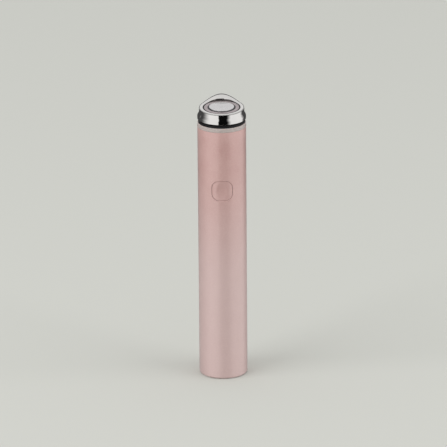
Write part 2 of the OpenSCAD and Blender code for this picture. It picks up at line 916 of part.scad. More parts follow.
// Insulating plug that holds both electrodes and is screwed to the frame
module electrode_carrier() {
    screw_top = gasket_z - head_screw_drop + screw_end_gap;
    color("#1c1c1f")
        difference() {
            union() {
                difference() {
                    union() {
                        tube(carrier_r, 0, carrier_z, gasket_z + fit);
                        tube(carrier_flange_r, 0, gasket_z, carrier_flange_top);
                        on_face()
                            translate([0, 0, seat_w - carrier_neck_h])
                                cylinder(r = well_r - carrier_gap, h = carrier_neck_h);
                    }
                    translate([0, 0, carrier_z - EPS])
                        cylinder(r = carrier_pocket_r, h = carrier_roof_z - carrier_z + EPS);
                }
                around(head_screw_angles)
                    translate([head_screw_pitch_r, 0, 0])
                        tube(head_boss_r, 0, lamp_board_z + lamp_board_t, carrier_roof_z + fit);
                translate([0, 0, carrier_z])
                    cylinder(r = centre_boss_r, h = carrier_roof_z - carrier_z + fit, $fn = 48);
            }
            translate([0, 0, carrier_z - EPS])
                cylinder(r = centre_stem_r + fit, h = face_z - carrier_z + EPS, $fn = 48);
            around(ring_stem_angles)
                translate([stem_pitch_r, 0, carrier_z - EPS])
                    cylinder(r = ring_stem_r + fit, h = face_z - carrier_z + EPS, $fn = 32);
            around(head_screw_angles)
                translate([head_screw_pitch_r, 0, lamp_board_z])
                    cylinder(r = screw_r + thin_fit, h = screw_top - lamp_board_z, $fn = 32);
        }
}

// Outline of the head shell, revolved: bevelled foot, collar, S-shaped shoulder, and neck. The shoulder is
// a straight slope between two arcs
module shell_outline() {
    collar_z = head_z + collar_h;
    neck_z = collar_z + shoulder_h;
    arc_h = shoulder_r * sin(shoulder_slope);
    arc_w = shoulder_r * shoulder_bend;
    polygon([
        [0, head_z],
        [barrel_r - foot_bevel, head_z],
        [barrel_r, head_z + foot_bevel],
        [barrel_r, collar_z],
        [0, collar_z]
    ]);
    intersection() {
        translate([0, collar_z]) square([barrel_r, arc_h]);
        union() {
            translate([0, collar_z]) square([barrel_r - shoulder_r, arc_h]);
            translate([barrel_r - shoulder_r, collar_z]) circle(r = shoulder_r);
        }
    }
    polygon([
        [0, collar_z + arc_h],
        [barrel_r - arc_w, collar_z + arc_h],
        [neck_r + arc_w, neck_z - arc_h],
        [0, neck_z - arc_h]
    ]);
    difference() {
        translate([0, neck_z - arc_h]) square([neck_r + arc_w, arc_h]);
        translate([neck_r + shoulder_r, neck_z]) circle(r = shoulder_r);
    }
    translate([0, head_z]) square([neck_r, face_z + tip_room - head_z]);
}

// What is above the treatment face: flat, then curving up to the tip at the back
module above_face() {
    on_face()
        along_x(3 * barrel_r) {
            translate([-2 * barrel_r, 0]) square([2 * barrel_r + tip_start, 3 * tip_room]);
            translate([tip_start, tip_r]) circle(r = tip_r);
            translate([tip_start - EPS, tip_r]) square([tip_r + EPS, 3 * tip_room]);
        }
}

module head_shell() {
    color("#c9cbd0")
        difference() {
            rotate_extrude() shell_outline();
            above_face();
            on_face()
                translate([0, 0, -head_h - shell_cavity_h])
                    cylinder(r = well_r, h = head_h + shell_cavity_h + 3 * tip_room);
            on_face()
                translate([0, 0, flank_foot])
                    cylinder(r1 = well_r, r2 = well_r + flank_h / flank_slope, h = flank_h);
            translate([0, 0, head_z - EPS]) cylinder(r = shell_cavity_r, h = shell_cavity_h + EPS);
        }
}

module ring_electrode() {
    color("#cfd0d4") {
        on_face() tube(ring_out_r, ring_in_r, seat_w, -face_sink);
        difference() {
            around(ring_stem_angles)
                translate([stem_pitch_r, 0, stem_end_z])
                    cylinder(r = ring_stem_r, h = face_z - stem_end_z, $fn = 32);
            on_face() translate([0, 0, seat_w + electrode_t / 2]) cylinder(r = barrel_r, h = barrel_r);
        }
    }
}

module insulator_ring() {
    color("#1a1a1d")
        on_face() tube(centre_r + fit + insulator_w, centre_r + fit, seat_w, -face_sink - insulator_sink);
}

module face_seal() {
    color("#1a1a1d")
        on_face()
            tube(well_r - thin_fit, ring_out_r + thin_fit, seat_w, -face_sink - face_seal_sink);
}

// Raised and slightly domed disc with a stem down to its contact pin
module centre_electrode() {
    color("#d6d7da") {
        on_face()
            intersection() {
                translate([0, 0, seat_w]) cylinder(r = centre_r, h = electrode_t + centre_rise + dome_h);
                translate([0, 0, centre_rise - face_sink + dome_h - dome_r]) sphere(r = dome_r, $fn = 192);
            }
        difference() {
            translate([0, 0, stem_end_z]) cylinder(r = centre_stem_r, h = face_z - stem_end_z, $fn = 48);
            on_face() translate([0, 0, seat_w + electrode_t / 2]) cylinder(r = barrel_r, h = barrel_r);
        }
    }
}

// ---------------------------------------------------------------- nodes

barrel();
base_cap();
base_seal();
port_shell();
port_tongue();
port_contacts();
charge_board();
board_header();
frame();
battery_cell();
battery_tabs();
battery_pad();
main_board();
board_chips();
board_passives();
board_screws();
transformer_core();
transformer_coil();
switch_body();
switch_stem();
button_cap();
motor_can();
motor_boot();
motor_leads();
motor_shaft();
motor_weight();
flex_cable();
lamp_board();
lamps();
contact_pins();
head_screws();
light_ring();
head_seal();
head_gasket();
electrode_carrier();
head_shell();
ring_electrode();
insulator_ring();
face_seal();
centre_electrode();
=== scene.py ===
import json
import logging
import math
from dataclasses import dataclass, field
from enum import Enum
from typing import Any, Callable, Iterable, Sequence

import bmesh
import bpy
from mathutils import Matrix, Vector


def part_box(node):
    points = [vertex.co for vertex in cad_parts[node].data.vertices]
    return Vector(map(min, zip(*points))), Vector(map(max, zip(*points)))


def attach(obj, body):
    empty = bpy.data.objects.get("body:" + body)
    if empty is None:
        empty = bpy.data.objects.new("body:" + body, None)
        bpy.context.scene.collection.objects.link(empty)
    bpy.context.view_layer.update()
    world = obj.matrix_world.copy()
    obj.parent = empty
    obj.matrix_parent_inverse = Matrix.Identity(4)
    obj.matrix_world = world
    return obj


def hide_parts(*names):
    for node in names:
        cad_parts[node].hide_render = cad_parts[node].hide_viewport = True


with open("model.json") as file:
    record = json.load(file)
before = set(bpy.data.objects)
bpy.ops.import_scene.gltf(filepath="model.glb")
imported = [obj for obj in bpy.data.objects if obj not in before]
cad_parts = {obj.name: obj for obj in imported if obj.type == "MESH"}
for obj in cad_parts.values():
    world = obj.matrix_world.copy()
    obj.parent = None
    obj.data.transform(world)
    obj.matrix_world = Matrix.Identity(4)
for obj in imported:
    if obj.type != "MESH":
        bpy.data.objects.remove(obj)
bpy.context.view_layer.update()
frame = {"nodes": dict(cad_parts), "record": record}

MM = 0.001  # one millimetre in metres
BARREL_WALL = 1.5  # wall of the barrel in millimetres
SLIDE_GAP = 0.1  # play of what slides into the bore, in millimetres
SHARP = math.radians(38)  # faces that meet at a larger angle keep a sharp edge
MERGE = 1e-7  # points nearer than this are one, in metres
CAD_MERGE = 1e-6  # the same for a mesh of the frame
STANDING, LYING = (Matrix.Rotation(math.radians(turn), 4, "X") for turn in (90, -90))
BODIES = frame["record"]["behaviour"]["bodies"]
BODY_OF = {node: body for body, nodes in BODIES.items() for node in nodes}
log = logging.getLogger("toner")

# Blender's names of the nodes that are used most
MIX, RANGE = "ShaderNodeMix", "ShaderNodeMapRange"
NOISE, CELLS, VECTOR = "ShaderNodeTexNoise", "ShaderNodeTexVoronoi", "ShaderNodeVectorMath"
JOIN_XYZ, SPLIT_XYZ = "ShaderNodeCombineXYZ", "ShaderNodeSeparateXYZ"

Point = Sequence[float]
Loop = list[int]
Node = bpy.types.Node


# ---- measures


def linear(code: str) -> tuple[float, ...]:
    """Turns an sRGB hex colour into linear light.

    Args:
        code: A colour such as "#d9b3ac".

    Returns:
        Red, green, blue and alpha from 0 to 1.
    """
    parts = [int(code[i:i + 2], 16) / 255 for i in (1, 3, 5)]
    light = [p / 12.92 if p <= 0.04045 else ((p + 0.055) / 1.055) ** 2.4 for p in parts]
    return (*light, 1.0)


@dataclass(frozen=True)
class Box:
    """A box between its lowest and its highest corner, in millimetres."""

    low: Vector
    high: Vector

    @classmethod
    def of(cls, node: str) -> "Box":
        """The box of a node of the frame."""
        low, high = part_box(node)
        return cls(low / MM, high / MM)

    @classmethod
    def solids(cls, node: str) -> list["Box"]:
        """Finds the separate solids of a node of the frame.

        Args:
            node: Name of the node.

        Returns:
            The box of each solid, sorted by height.
        """
        shape = bmesh.new()
        shape.from_mesh(frame["nodes"][node].data)
        bmesh.ops.remove_doubles(shape, verts=shape.verts, dist=CAD_MERGE)
        left = set(shape.verts)
        boxes = []
        while left:
            group, edge = [], [left.pop()]
            while edge:
                vert = edge.pop()
                group.append(vert.co / MM)
                near = {e.other_vert(vert) for e in vert.link_edges} & left
                left -= near
                edge.extend(near)
            low, high = (Vector([pick(p[i] for p in group) for i in range(3)]) for pick in (min, max))
            boxes.append(cls(low, high))
        shape.free()
        return sorted(boxes, key=lambda box: [round(box.low[i], 2) for i in (2, 0, 1)])

    @property
    def size(self) -> Vector:
        """Width, depth and height."""
        return self.high - self.low

    @property
    def middle(self) -> Vector:
        """The box's middle."""
        return (self.low + self.high) / 2


@dataclass(frozen=True)
class Stack:
    """Heights and radii that the pieces share, in millimetres, read from the frame."""

    barrel_r: float = Box.of("barrel").high.x
    barrel_top: float = Box.of("barrel").high.z
    light_top: float = Box.of("head_gasket").low.z
    gasket_top: float = Box.of("head_shell").low.z
    button_z: float = Box.of("button_cap").middle.z

    @property
    def bore_r(self) -> float:
        """Radius of the barrel's bore."""
        return self.barrel_r - BARREL_WALL

    @property
    def plug_r(self) -> float:
        """Radius of what slides into the bore."""
        return self.bore_r - SLIDE_GAP


STACK = Stack()


# ---- node trees


class Tree:
    """A node tree, and the one way in which nodes are added to it."""

    def __init__(self, tree: bpy.types.NodeTree) -> None:
        """Takes over a tree and empties it."""
        self.tree = tree
        tree.nodes.clear()

    def add(self, kind: str, *feeds: Any, **named: Any) -> Node:
        """Adds one node with its settings and links.

        Args:
            kind: The node's type, or in capitals what a Math node works out.
            feeds: A value, socket or node for each input in use, in order. A node gives its first output.
            named: Settings in small letters, and inputs with a capital first letter and _ for a space.

        Returns:
            The new node.
        """
        if kind.isupper():
            kind, named["operation"] = "ShaderNodeMath", kind
        node = self.tree.nodes.new(kind)
        for name in filter(str.islower, named):
            setattr(node, name, named[name])
        used = [socket for socket in node.inputs if socket.enabled]
        pairs = list(zip(used, feeds))
        pairs += [(socket, named[key]) for socket in used if (key := socket.name.replace(" ", "_")) in named]
        for socket, value in pairs:
            if isinstance(value, bpy.types.Node):
                value = next(output for output in value.outputs if output.enabled)
            if isinstance(value, bpy.types.NodeSocket):
                self.tree.links.new(value, socket)
            else:
                socket.default_value = value
        return node


class Surface(Tree):
    """The tree of a material, with the point on the piece in millimetres."""

    NOISE_SPAN = (0.3, 0.7)  # most of a noise lies between these

    def __init__(self, tree: bpy.types.NodeTree) -> None:
        """Starts with the place on the piece."""
        super().__init__(tree)
        self.place = self.add(
            "ShaderNodeMapping", self.add("ShaderNodeTexCoord").outputs["Object"], Scale=[1 / MM] * 3)

    def patches(self, size: float, low: float, high: float, detail: float = 2.0) -> Node:
        """Soft lumps about size millimetres across, which run from low to high."""
        noise = self.add(NOISE, self.place, Scale=1 / size, Detail=detail)
        return self.add(RANGE, noise, *self.NOISE_SPAN, low, high)

    def lines(self, along: Point, depth: float) -> Node:
        """Fine lines up to a depth, so many to a millimetre along X, Y and Z."""
        noise = self.add(NOISE, self.add("ShaderNodeMapping", self.place, Scale=along), Scale=1.0, Detail=3.0)
        return self.add(RANGE, noise, *self.NOISE_SPAN, 0.0, depth)


# ---- kinds of finish


@dataclass(frozen=True)
class Finish:
    """A surface: what it is made of, how it was made, and how that looks close up.

    Lengths are in millimetres. The second colour shows in soft patches.
    """

    name: str
    colour: str
    drift: str
    patch: float = 9.0
    rough: float = 0.45
    rough_spread: float = 0.06
    metallic: float = 0.0
    ior: float = 1.5
    coat: float = 0.0
    coat_rough: float = 0.1
    grain: float = 0.4
    grain_depth: float = 0.002

    HANDLED = 0.4  # size of the gloss's patches as a share of the colour's

    def share(self, on: Surface) -> Node:
        """How far the colour goes towards the second one."""
        return on.patches(self.patch, 0.0, 1.0)

    def tint(self, on: Surface) -> Node:
        """Colour of the surface."""
        return on.add(MIX, self.share(on), linear(self.colour), linear(self.drift), data_type="RGBA")

    def gloss(self, on: Surface) -> Node:
        """Roughness of the surface, uneven as handling leaves it."""
        low, high = self.rough - self.rough_spread, self.rough + self.rough_spread
        return on.patches(self.patch * self.HANDLED, low, high, 3.0)

    def relief(self, on: Surface) -> Node:
        """Height of the surface's grain in millimetres."""
        return on.patches(self.grain, 0.0, self.grain_depth)

    def extras(self, on: Surface) -> dict[str, Any]:
        """Settings of the shader that a kind of finish makes in its own way."""
        return {"Coat_Weight": self.coat}

    def material(self) -> bpy.types.Material:
        """Makes the material, once for each name.

        Returns:
            The material.
        """
        known = bpy.data.materials.get(self.name)
        if known:
            return known
        material = bpy.data.materials.new(self.name)
        material.use_nodes = True
        on = Surface(material.node_tree)
        shader = on.add(
            "ShaderNodeBsdfPrincipled", Base_Color=self.tint(on), Roughness=self.gloss(on),
            Metallic=self.metallic, IOR=self.ior, Coat_Roughness=self.coat_rough, **self.extras(on),
            Normal=on.add("ShaderNodeBump", Height=self.relief(on), Distance=MM))
        on.add("ShaderNodeOutputMaterial", shader)
        return material


@dataclass(frozen=True)
class PearlLacquer(Finish):
    """Satin lacquer with pearl flakes, sprayed on moulded ABS.

    Gives a soft pink with a faint sparkle, the shallow ripple of sprayed paint, edges that handling has
    rubbed a little paler, a thinner clear coat at the foot, and painted light that makes the foot paler.
    """

    # pale colour of the painted light on the foot
    painted_foot_light: str = "#d3c0be"
    pearl: str = "#e4ccc6"
    rubbed: str = "#d3b4ae"
    flake: float = 0.3  # real flakes are 0.03 mm; drawn coarser so that they show
    flake_from: float = 0.6  # how bright a flake has to be to show
    flake_share: float = 0.16  # how much the brightest flake shows
    scuff: float = 1.1
    rub: float = 0.3
    ripple: float = 1.6
    ripple_depth: float = 0.0012
    thick_above: float = 110.0  # height above which the clear coat is full and there is no painted light
    thin_below: float = 45.0
    foot_light_share: float = 0.6  # how far painted light takes the foot's colour towards the pale one
    thin_coat: float = 0.35  # clear coat that is left at the foot
    sheen: float = 0.25
    sheen_rough: float = 0.35

    def _between(self, on: Surface, top: float, foot: float) -> Node:
        """Runs from one value on the upper body to another at the foot."""
        height = on.add(SPLIT_XYZ, on.place).outputs["Z"]
        return on.add(RANGE, height, self.thick_above, self.thin_below, top, foot,
                      interpolation_type="SMOOTHSTEP")

    def extras(self, on: Surface) -> dict[str, Any]:
        """A clear coat that thins towards the foot, and flakes that catch light at the sides."""
        return {"Coat_Weight": self._between(on, self.coat, self.coat * self.thin_coat),
                "Sheen_Weight": self.sheen, "Sheen_Roughness": self.sheen_rough}

    def tint(self, on: Surface) -> Node:
        """Pink with painted light that makes it paler towards the foot, with pearl flakes and rubbed edges.

        Args:
            on: The material's tree.

        Returns:
            The node that gives the colour.
        """
        cells = on.add(CELLS, on.place, Scale=1 / self.flake)
        bright = on.add("ShaderNodeSeparateColor", cells.outputs["Color"])
        edge = on.add("ShaderNodeAttribute", attribute_name="edge").outputs["Fac"]
        scuffs = on.add(NOISE, on.place, Scale=1 / self.scuff, Detail=4.0)
        worn = on.add("MULTIPLY", edge, scuffs)
        colour = super().tint(on)
        for share, other in (
                # painted light: the colour pales towards the foot
                (self._between(on, 0.0, self.foot_light_share), self.painted_foot_light),
                (on.add(RANGE, bright, self.flake_from, 1.0, 0.0, self.flake_share), self.pearl),
                (on.add(RANGE, worn, *on.NOISE_SPAN, 0.0, self.rub), self.rubbed)):
            colour = on.add(MIX, share, colour, linear(other), data_type="RGBA")
        return colour

    def relief(self, on: Surface) -> Node:
        """Fine grain on the wider ripple that spraying leaves."""
        return on.add("ADD", super().relief(on), on.patches(self.ripple, 0.0, self.ripple_depth))


@dataclass(frozen=True)
class PolishedPlating(Finish):
    """Bright chromium plated on a die-cast shell and buffed.

    Gives sharp reflections, with fine scratches round the axis, faint finger marks, and a thin dark line
    painted at the rim's edge and in its shallow groove: a painted reflection of the dark room.
    """

    # colour of the painted dark reflection line at the rim
    painted_dark: str = "#2b2a2b"
    mark: float = 2.6  # size of a finger mark
    mark_span: Point = (0.52, 0.75)  # part of the noise over which a mark gets duller
    along: Point = (0.12, 0.12, 4.0)  # lines per millimetre; real ones are finer, and wouldn't show
    scratch_depth: float = 0.00003

    def tint(self, on: Surface) -> Node:
        """Chromium with the painted dark reflection line at the rim."""
        painted_dark = on.add("ShaderNodeAttribute", attribute_name="painted_reflection_line").outputs["Fac"]
        return on.add(MIX, painted_dark, super().tint(on), linear(self.painted_dark), data_type="RGBA")

    def gloss(self, on: Surface) -> Node:
        """Polished, with finger marks that dull it in patches."""
        marks = on.add(NOISE, on.place, Scale=1 / self.mark, Detail=5.0)
        return on.add(RANGE, marks, *self.mark_span, self.rough, self.rough + self.rough_spread)

    def relief(self, on: Surface) -> Node:
        """Buffing lines that run round the axis."""
        return on.lines(self.along, self.scratch_depth)


@dataclass(frozen=True)
class TurnedPlating(Finish):
    """Plated steel faced on a lathe, which leaves rings round the axis.

    Gives a soft metal sheen with fine circles and a slight change of tone from ring to ring.
    """

    ring: float = 0.22  # real turning rings are 0.05 mm apart; drawn coarser so that they show
    ring_depth: float = 0.0008

    def rings(self, on: Surface) -> Node:
        """Noise that changes with the distance from the axis alone."""
        flat = on.add(VECTOR, on.place, (1.0, 1.0, 0.0), operation="MULTIPLY")
        return on.add(NOISE, on.add(VECTOR, flat, operation="LENGTH"), 1 / self.ring, 2.0,
                      noise_dimensions="1D")

    def share(self, on: Surface) -> Node:
        """Soft patches in which the tone also shifts from ring to ring."""
        both = on.add("ADD", on.add(NOISE, on.place, Scale=1 / self.patch, Detail=2.0), self.rings(on))
        return on.add(RANGE, both, *(2 * end for end in on.NOISE_SPAN), 0.0, 1.0)

    def relief(self, on: Surface) -> Node:
        """Turning rings over the fine grain."""
        rings = on.add(RANGE, self.rings(on), *on.NOISE_SPAN, 0.0, self.ring_depth)
        return on.add("ADD", super().relief(on), rings)


@dataclass(frozen=True)
class OpalPlastic(Finish):
    """Milky polycarbonate that spreads the light of the lamps behind it.

    Gives a pale ring with soft depth and an even, slightly glossy skin.
    """

    depth: float = 1.2
    milk: float = 0.6  # share of the light that goes inside
    reach: Point = (1.0, 0.85, 0.8)  # of red, green and blue

    def extras(self, on: Surface) -> dict[str, Any]:
        """Lets light into the plastic, red a little further than blue."""
        return {**super().extras(on), "Subsurface_Weight": self.milk, "Subsurface_Radius": self.reach,
                "Subsurface_Scale": self.depth * MM}


@dataclass(frozen=True)
class DrawnMetal(Finish):
    """Metal, wire or film drawn or shrunk along its length.

    Gives straight lines along the piece and a sheen that runs across them.
    """

    along: Point = (0.05, 0.05, 0.05)  # lines per millimetre in each direction
    line_depth: float = 0.0006

    def relief(self, on: Surface) -> Node:
        """Drawing lines over the fine grain."""
        return on.add("ADD", super().relief(on), on.lines(self.along, self.line_depth))


@dataclass(frozen=True)
class SolderMask(Finish):
    """Green solder mask, screened over etched copper on a glass-fibre board.

    Gives a glossy green skin over paler tracks that run up and across, with tinned through holes.
    """

    over_copper: str = "#3f8a5c"
    tin: str = "#c9c6bb"
    track: float = 0.9  # from track to track
    track_from: float = 0.62  # where a wave from 0 to 1 counts as a track
    track_depth: float = 0.02
    hole: float = 3.2  # from hole to hole
    hole_share: float = 0.09  # radius of a hole's tin as a share of that
    area: float = 5.0  # size of an area in which the tracks run one way

    WAVE = 20.0  # how far a wave node turns for each unit of its scaled place

    def _tracks(self, on: Surface) -> Node:
        """1 on a copper track and 0 beside it.

        Args:
            on: The material's tree.

        Returns:
            The node that gives it.
        """
        upright = on.add("GREATER_THAN", on.add(NOISE, on.place, Scale=1 / self.area, Detail=0.0), 0.5)
        rows = []
        for way in ("Z", "X"):
            scale = 2 * math.pi / (self.WAVE * self.track)
            wave = on.add("ShaderNodeTexWave", on.place, scale, bands_direction=way)
            rows.append(on.add("GREATER_THAN", wave.outputs["Fac"], self.track_from))
        return on.add(MIX, upright, *rows, data_type="FLOAT")

    def tint(self, on: Surface) -> Node:
        """Green, paler over the tracks, with tinned holes.

        Args:
            on: The material's tree.

        Returns:
            The node that gives the colour.
        """
        dots = on.add("LESS_THAN", on.add(CELLS, on.place, Scale=1 / self.hole), self.hole_share)
        mask = on.add(MIX, self._tracks(on), super().tint(on), linear(self.over_copper), data_type="RGBA")
        return on.add(MIX, dots, mask, linear(self.tin), data_type="RGBA")

    def relief(self, on: Surface) -> Node:
        """Tracks stand a little proud under the mask."""
        return on.add("MULTIPLY_ADD", self._tracks(on), self.track_depth, super().relief(on))


@dataclass(frozen=True)
class OpenFoam(Finish):
    """Cut polyurethane foam.

    Gives a matt surface of small open cells with thin walls between them.
    """

    cell: float = 0.5  # real cells are 0.2 mm; drawn coarser so that they show
    cell_depth: float = 0.2

    def relief(self, on: Surface) -> Node:
        """Open cells in place of the fine grain."""
        return on.add("MULTIPLY", on.add(CELLS, on.place, Scale=1 / self.cell), self.cell_depth)


class Look(Enum):
    """The finishes of the device, each with what it gives the eye."""

    SATIN_PINK = PearlLacquer(  # satin pink with a faint sparkle, and painted light that pales the foot
        "lacquered_abs_pink", "#c9a39e", "#c49c97", rough=0.38, coat=0.75, coat_rough=0.2, metallic=0.1,
        grain=0.35, grain_depth=0.0016)
    BUTTON_PINK = PearlLacquer(  # as the body, a little smoother
        "lacquered_abs_button", "#c8a29d", "#c39b96", rough=0.36, coat=0.75, coat_rough=0.18, metallic=0.1,
        grain=0.3, grain_depth=0.0012)
    CAP_PINK = PearlLacquer(  # duller than the body, from a thin coat
        "lacquered_abs_cap", "#c39f98", "#bd968f", rough=0.46, coat=0.6, coat_rough=0.3, metallic=0.08,
        grain=0.3, grain_depth=0.003)
    CHROME = PolishedPlating(  # a near mirror with faint finger marks
        "buffed_chromium_plating", "#e8e6e3", "#dfdddb", rough=0.035, rough_spread=0.07, metallic=1.0)
    ELECTRODE = TurnedPlating(  # warm grey with fine rings
        "turned_plated_steel", "#b6abac", "#a49a9c", rough=0.34, rough_spread=0.05, metallic=0.85,
        grain=0.25, grain_depth=0.0006, patch=5.0)
    CENTRE_ELECTRODE = TurnedPlating(  # brighter and sharper than the ring round it
        "faced_plated_steel", "#dddbdc", "#cfcdce", rough=0.2, metallic=0.9, grain=0.25, grain_depth=0.0006,
        patch=5.0)
    OPAL = OpalPlastic(  # pale and milky, soft at its edges
        "moulded_opal_polycarbonate", "#bdb2ae", "#b5aaa6", rough=0.32, ior=1.58, coat=0.2, grain=0.5,
        grain_depth=0.001)
    RUBBER = Finish(  # a deep matt black line
        "moulded_silicone_black", "#0f0e10", "#171618", rough=0.62, ior=1.41, grain=0.2, grain_depth=0.004)
    NYLON = Finish(  # charcoal with a dull grain from the glass
        "moulded_glass_filled_nylon", "#1a1a1d", "#232327", rough=0.5, ior=1.53, grain=0.18,
        grain_depth=0.006)
    PORT_STEEL = DrawnMetal(  # clean grey with lines up its walls
        "deep_drawn_nickelled_steel", "#c9c8c4", "#b4b2ad", rough=0.26, metallic=1.0, along=(3.0, 3.0, 0.15),
        grain=0.3, grain_depth=0.0008)
    GOLD = DrawnMetal(  # thin yellow metal lines
        "gold_flash_on_bronze", "#d8b05a", "#c69b49", rough=0.28, metallic=1.0, along=(4.0, 4.0, 0.3),
        grain=0.12, grain_depth=0.0008, patch=1.5)
    BOARD = SolderMask(  # glossy green with paler tracks
        "screened_solder_mask_green", "#2c6b47", "#286241", rough=0.32, ior=1.55, coat=0.5, coat_rough=0.15,
        grain=0.25, grain_depth=0.003)
    CHIP = Finish(  # flat dark grey
        "transfer_moulded_epoxy", "#232326", "#2b2b2e", rough=0.58, ior=1.55, grain=0.12, grain_depth=0.006,
        patch=2.0)
    TIN = Finish(  # dull silver
        "matt_tin_plating", "#c4c4c0", "#b0b0ac", rough=0.4, metallic=1.0, grain=0.15, grain_depth=0.004,
        patch=1.0)
    CERAMIC = Finish(  # dry, even tan
        "sintered_ceramic_tan", "#b59f7c", "#a48d6b", rough=0.5, ior=1.76, grain=0.1, grain_depth=0.004,
        patch=0.8)
    FERRITE = Finish(  # rough dark grey
        "sintered_ferrite", "#38383c", "#424247", rough=0.6, ior=2.2, grain=0.22, grain_depth=0.02, patch=3.0)
    COPPER_WIRE = DrawnMetal(  # glossy orange-brown
        "enamelled_copper_wire", "#b9672f", "#a35423", rough=0.25, metallic=1.0, coat=0.8,
        along=(0.3, 0.3, 6.0), grain=0.2, grain_depth=0.0008)
    FRAME_RESIN = Finish(  # plain cream with a soft sheen
        "moulded_natural_abs", "#d9d3c4", "#d0c9b8", rough=0.48, ior=1.54, grain=0.35, grain_depth=0.006,
        patch=12.0)
    SLEEVE = DrawnMetal(  # glossy blue with faint stretch marks
        "shrunk_pvc_sleeve_blue", "#3d6fae", "#3763a0", rough=0.3, ior=1.54, coat=0.4, coat_rough=0.12,
        along=(1.2, 1.2, 0.2), line_depth=0.012)
    CAN_STEEL = DrawnMetal(  # silvery with lines along the can
        "nickelled_deep_drawn_can", "#c3c2bc", "#aeaca5", rough=0.3, metallic=1.0, along=(3.0, 3.0, 0.2))
    NICKEL = DrawnMetal(  # warm grey with rolling lines
        "rolled_nickel_strip", "#bfbcb2", "#a9a59a", rough=0.34, metallic=1.0, along=(5.0, 0.3, 0.3))
    FOAM = OpenFoam(  # matt dark grey, full of small cells
        "cut_polyurethane_foam", "#3a3a3d", "#434346", rough=0.9, rough_spread=0.03)
    SCREW = DrawnMetal(  # bluish silver with soft highlights
        "zinc_plated_steel", "#b9bcc0", "#a9abad", rough=0.3, metallic=1.0, along=(2.0, 2.0, 0.4), grain=0.2,
        patch=1.5)
    MOTOR_STEEL = DrawnMetal(  # bright with lines along the can
        "drawn_motor_can_steel", "#b9bbbf", "#a4a6aa", rough=0.28, metallic=1.0, along=(4.0, 4.0, 0.15))
    SHAFT = DrawnMetal(  # the brightest metal inside, almost a mirror
        "ground_shaft_steel", "#d0d2d5", "#c0c2c6", rough=0.18, metallic=1.0, along=(0.2, 0.2, 9.0))
    TUNGSTEN = Finish(  # dull brownish grey with a coarse grain
        "sintered_tungsten_alloy", "#8d8a83", "#7d7972", rough=0.5, metallic=1.0, grain=0.14,
        grain_depth=0.012, patch=2.0)
    FILM = DrawnMetal(  # glossy amber
        "polyimide_film", "#c7853a", "#b87730", rough=0.28, ior=1.7, along=(1.5, 1.5, 0.1), line_depth=0.004)
    WIRE_RED = DrawnMetal(  # bright red, softly glossy
        "extruded_pvc_red", "#a8262b", "#9a2227", rough=0.4, ior=1.54, coat=0.3, along=(0.3, 0.3, 1.0))
    WIRE_BLACK = DrawnMetal(  # near black, softly glossy
        "extruded_pvc_black", "#29292c", "#222225", rough=0.4, ior=1.54, coat=0.3, along=(0.3, 0.3, 1.0))
    LAMP_BODY = Finish(  # clean white with a soft sheen
        "moulded_white_polyamide", "#ece9df", "#e4e0d4", rough=0.42, ior=1.53, grain=0.1, patch=0.8)
    PHOSPHOR = OpalPlastic(  # deep yellow, soft as wax
        "silicone_with_phosphor", "#e8cf66", "#dfc45a", rough=0.25, ior=1.41, coat=0.3, grain=0.08,
        patch=0.6, depth=0.3)
    STEM = Finish(  # ivory white, slightly waxy
        "moulded_polyacetal_white", "#dedbd2", "#d5d1c7", rough=0.4, ior=1.48, grain=0.15, patch=1.5)

    @property
    def material(self) -> bpy.types.Material:
        """The finish's material."""
        return self.value.material()


# ---- outlines


def arc(centre: Point, radius: float, start: float, end: float, steps: int = 6) -> list[Point]:
    """Points on an arc, from start to end in degrees."""
    angles = [math.radians(start + (end - start) * i / steps) for i in range(steps + 1)]
    return [(centre[0] + radius * math.cos(a), centre[1] + radius * math.sin(a)) for a in angles]


def circle(steps: int) -> list[Point]:
    """Directions at equal steps round an upright axis, from the front."""
    angles = [2 * math.pi * i / steps for i in range(steps)]
    return [(math.sin(a), -math.cos(a)) for a in angles]


def softened(corners: Sequence[Point], steps: int = 5) -> list[Point]:
    """Rounds the corners of a closed outline.

    Args:
        corners: Each corner as two coordinates and its rounding radius, which may be 0.
        steps: How many pieces a rounding has.

    Returns:
        The outline's points.
    """
    made = []
    for i, (x, y, radius) in enumerate(corners):
        if radius == 0:
            made.append((x, y))
            continue
        here = Vector((x, y))
        before = (Vector(corners[i - 1][:2]) - here).normalized()
        after = (Vector(corners[(i + 1) % len(corners)][:2]) - here).normalized()
        half = before.angle(after) / 2
        middle = here + (before + after).normalized() * (radius / math.sin(half))
        first, last = (here + way * (radius / math.tan(half)) - middle for way in (before, after))
        start = math.degrees(math.atan2(first.y, first.x))
        turn = math.degrees(math.atan2(first.x * last.y - first.y * last.x, first.dot(last)))
        made += arc(middle, radius, start, start + turn, steps)
    return made


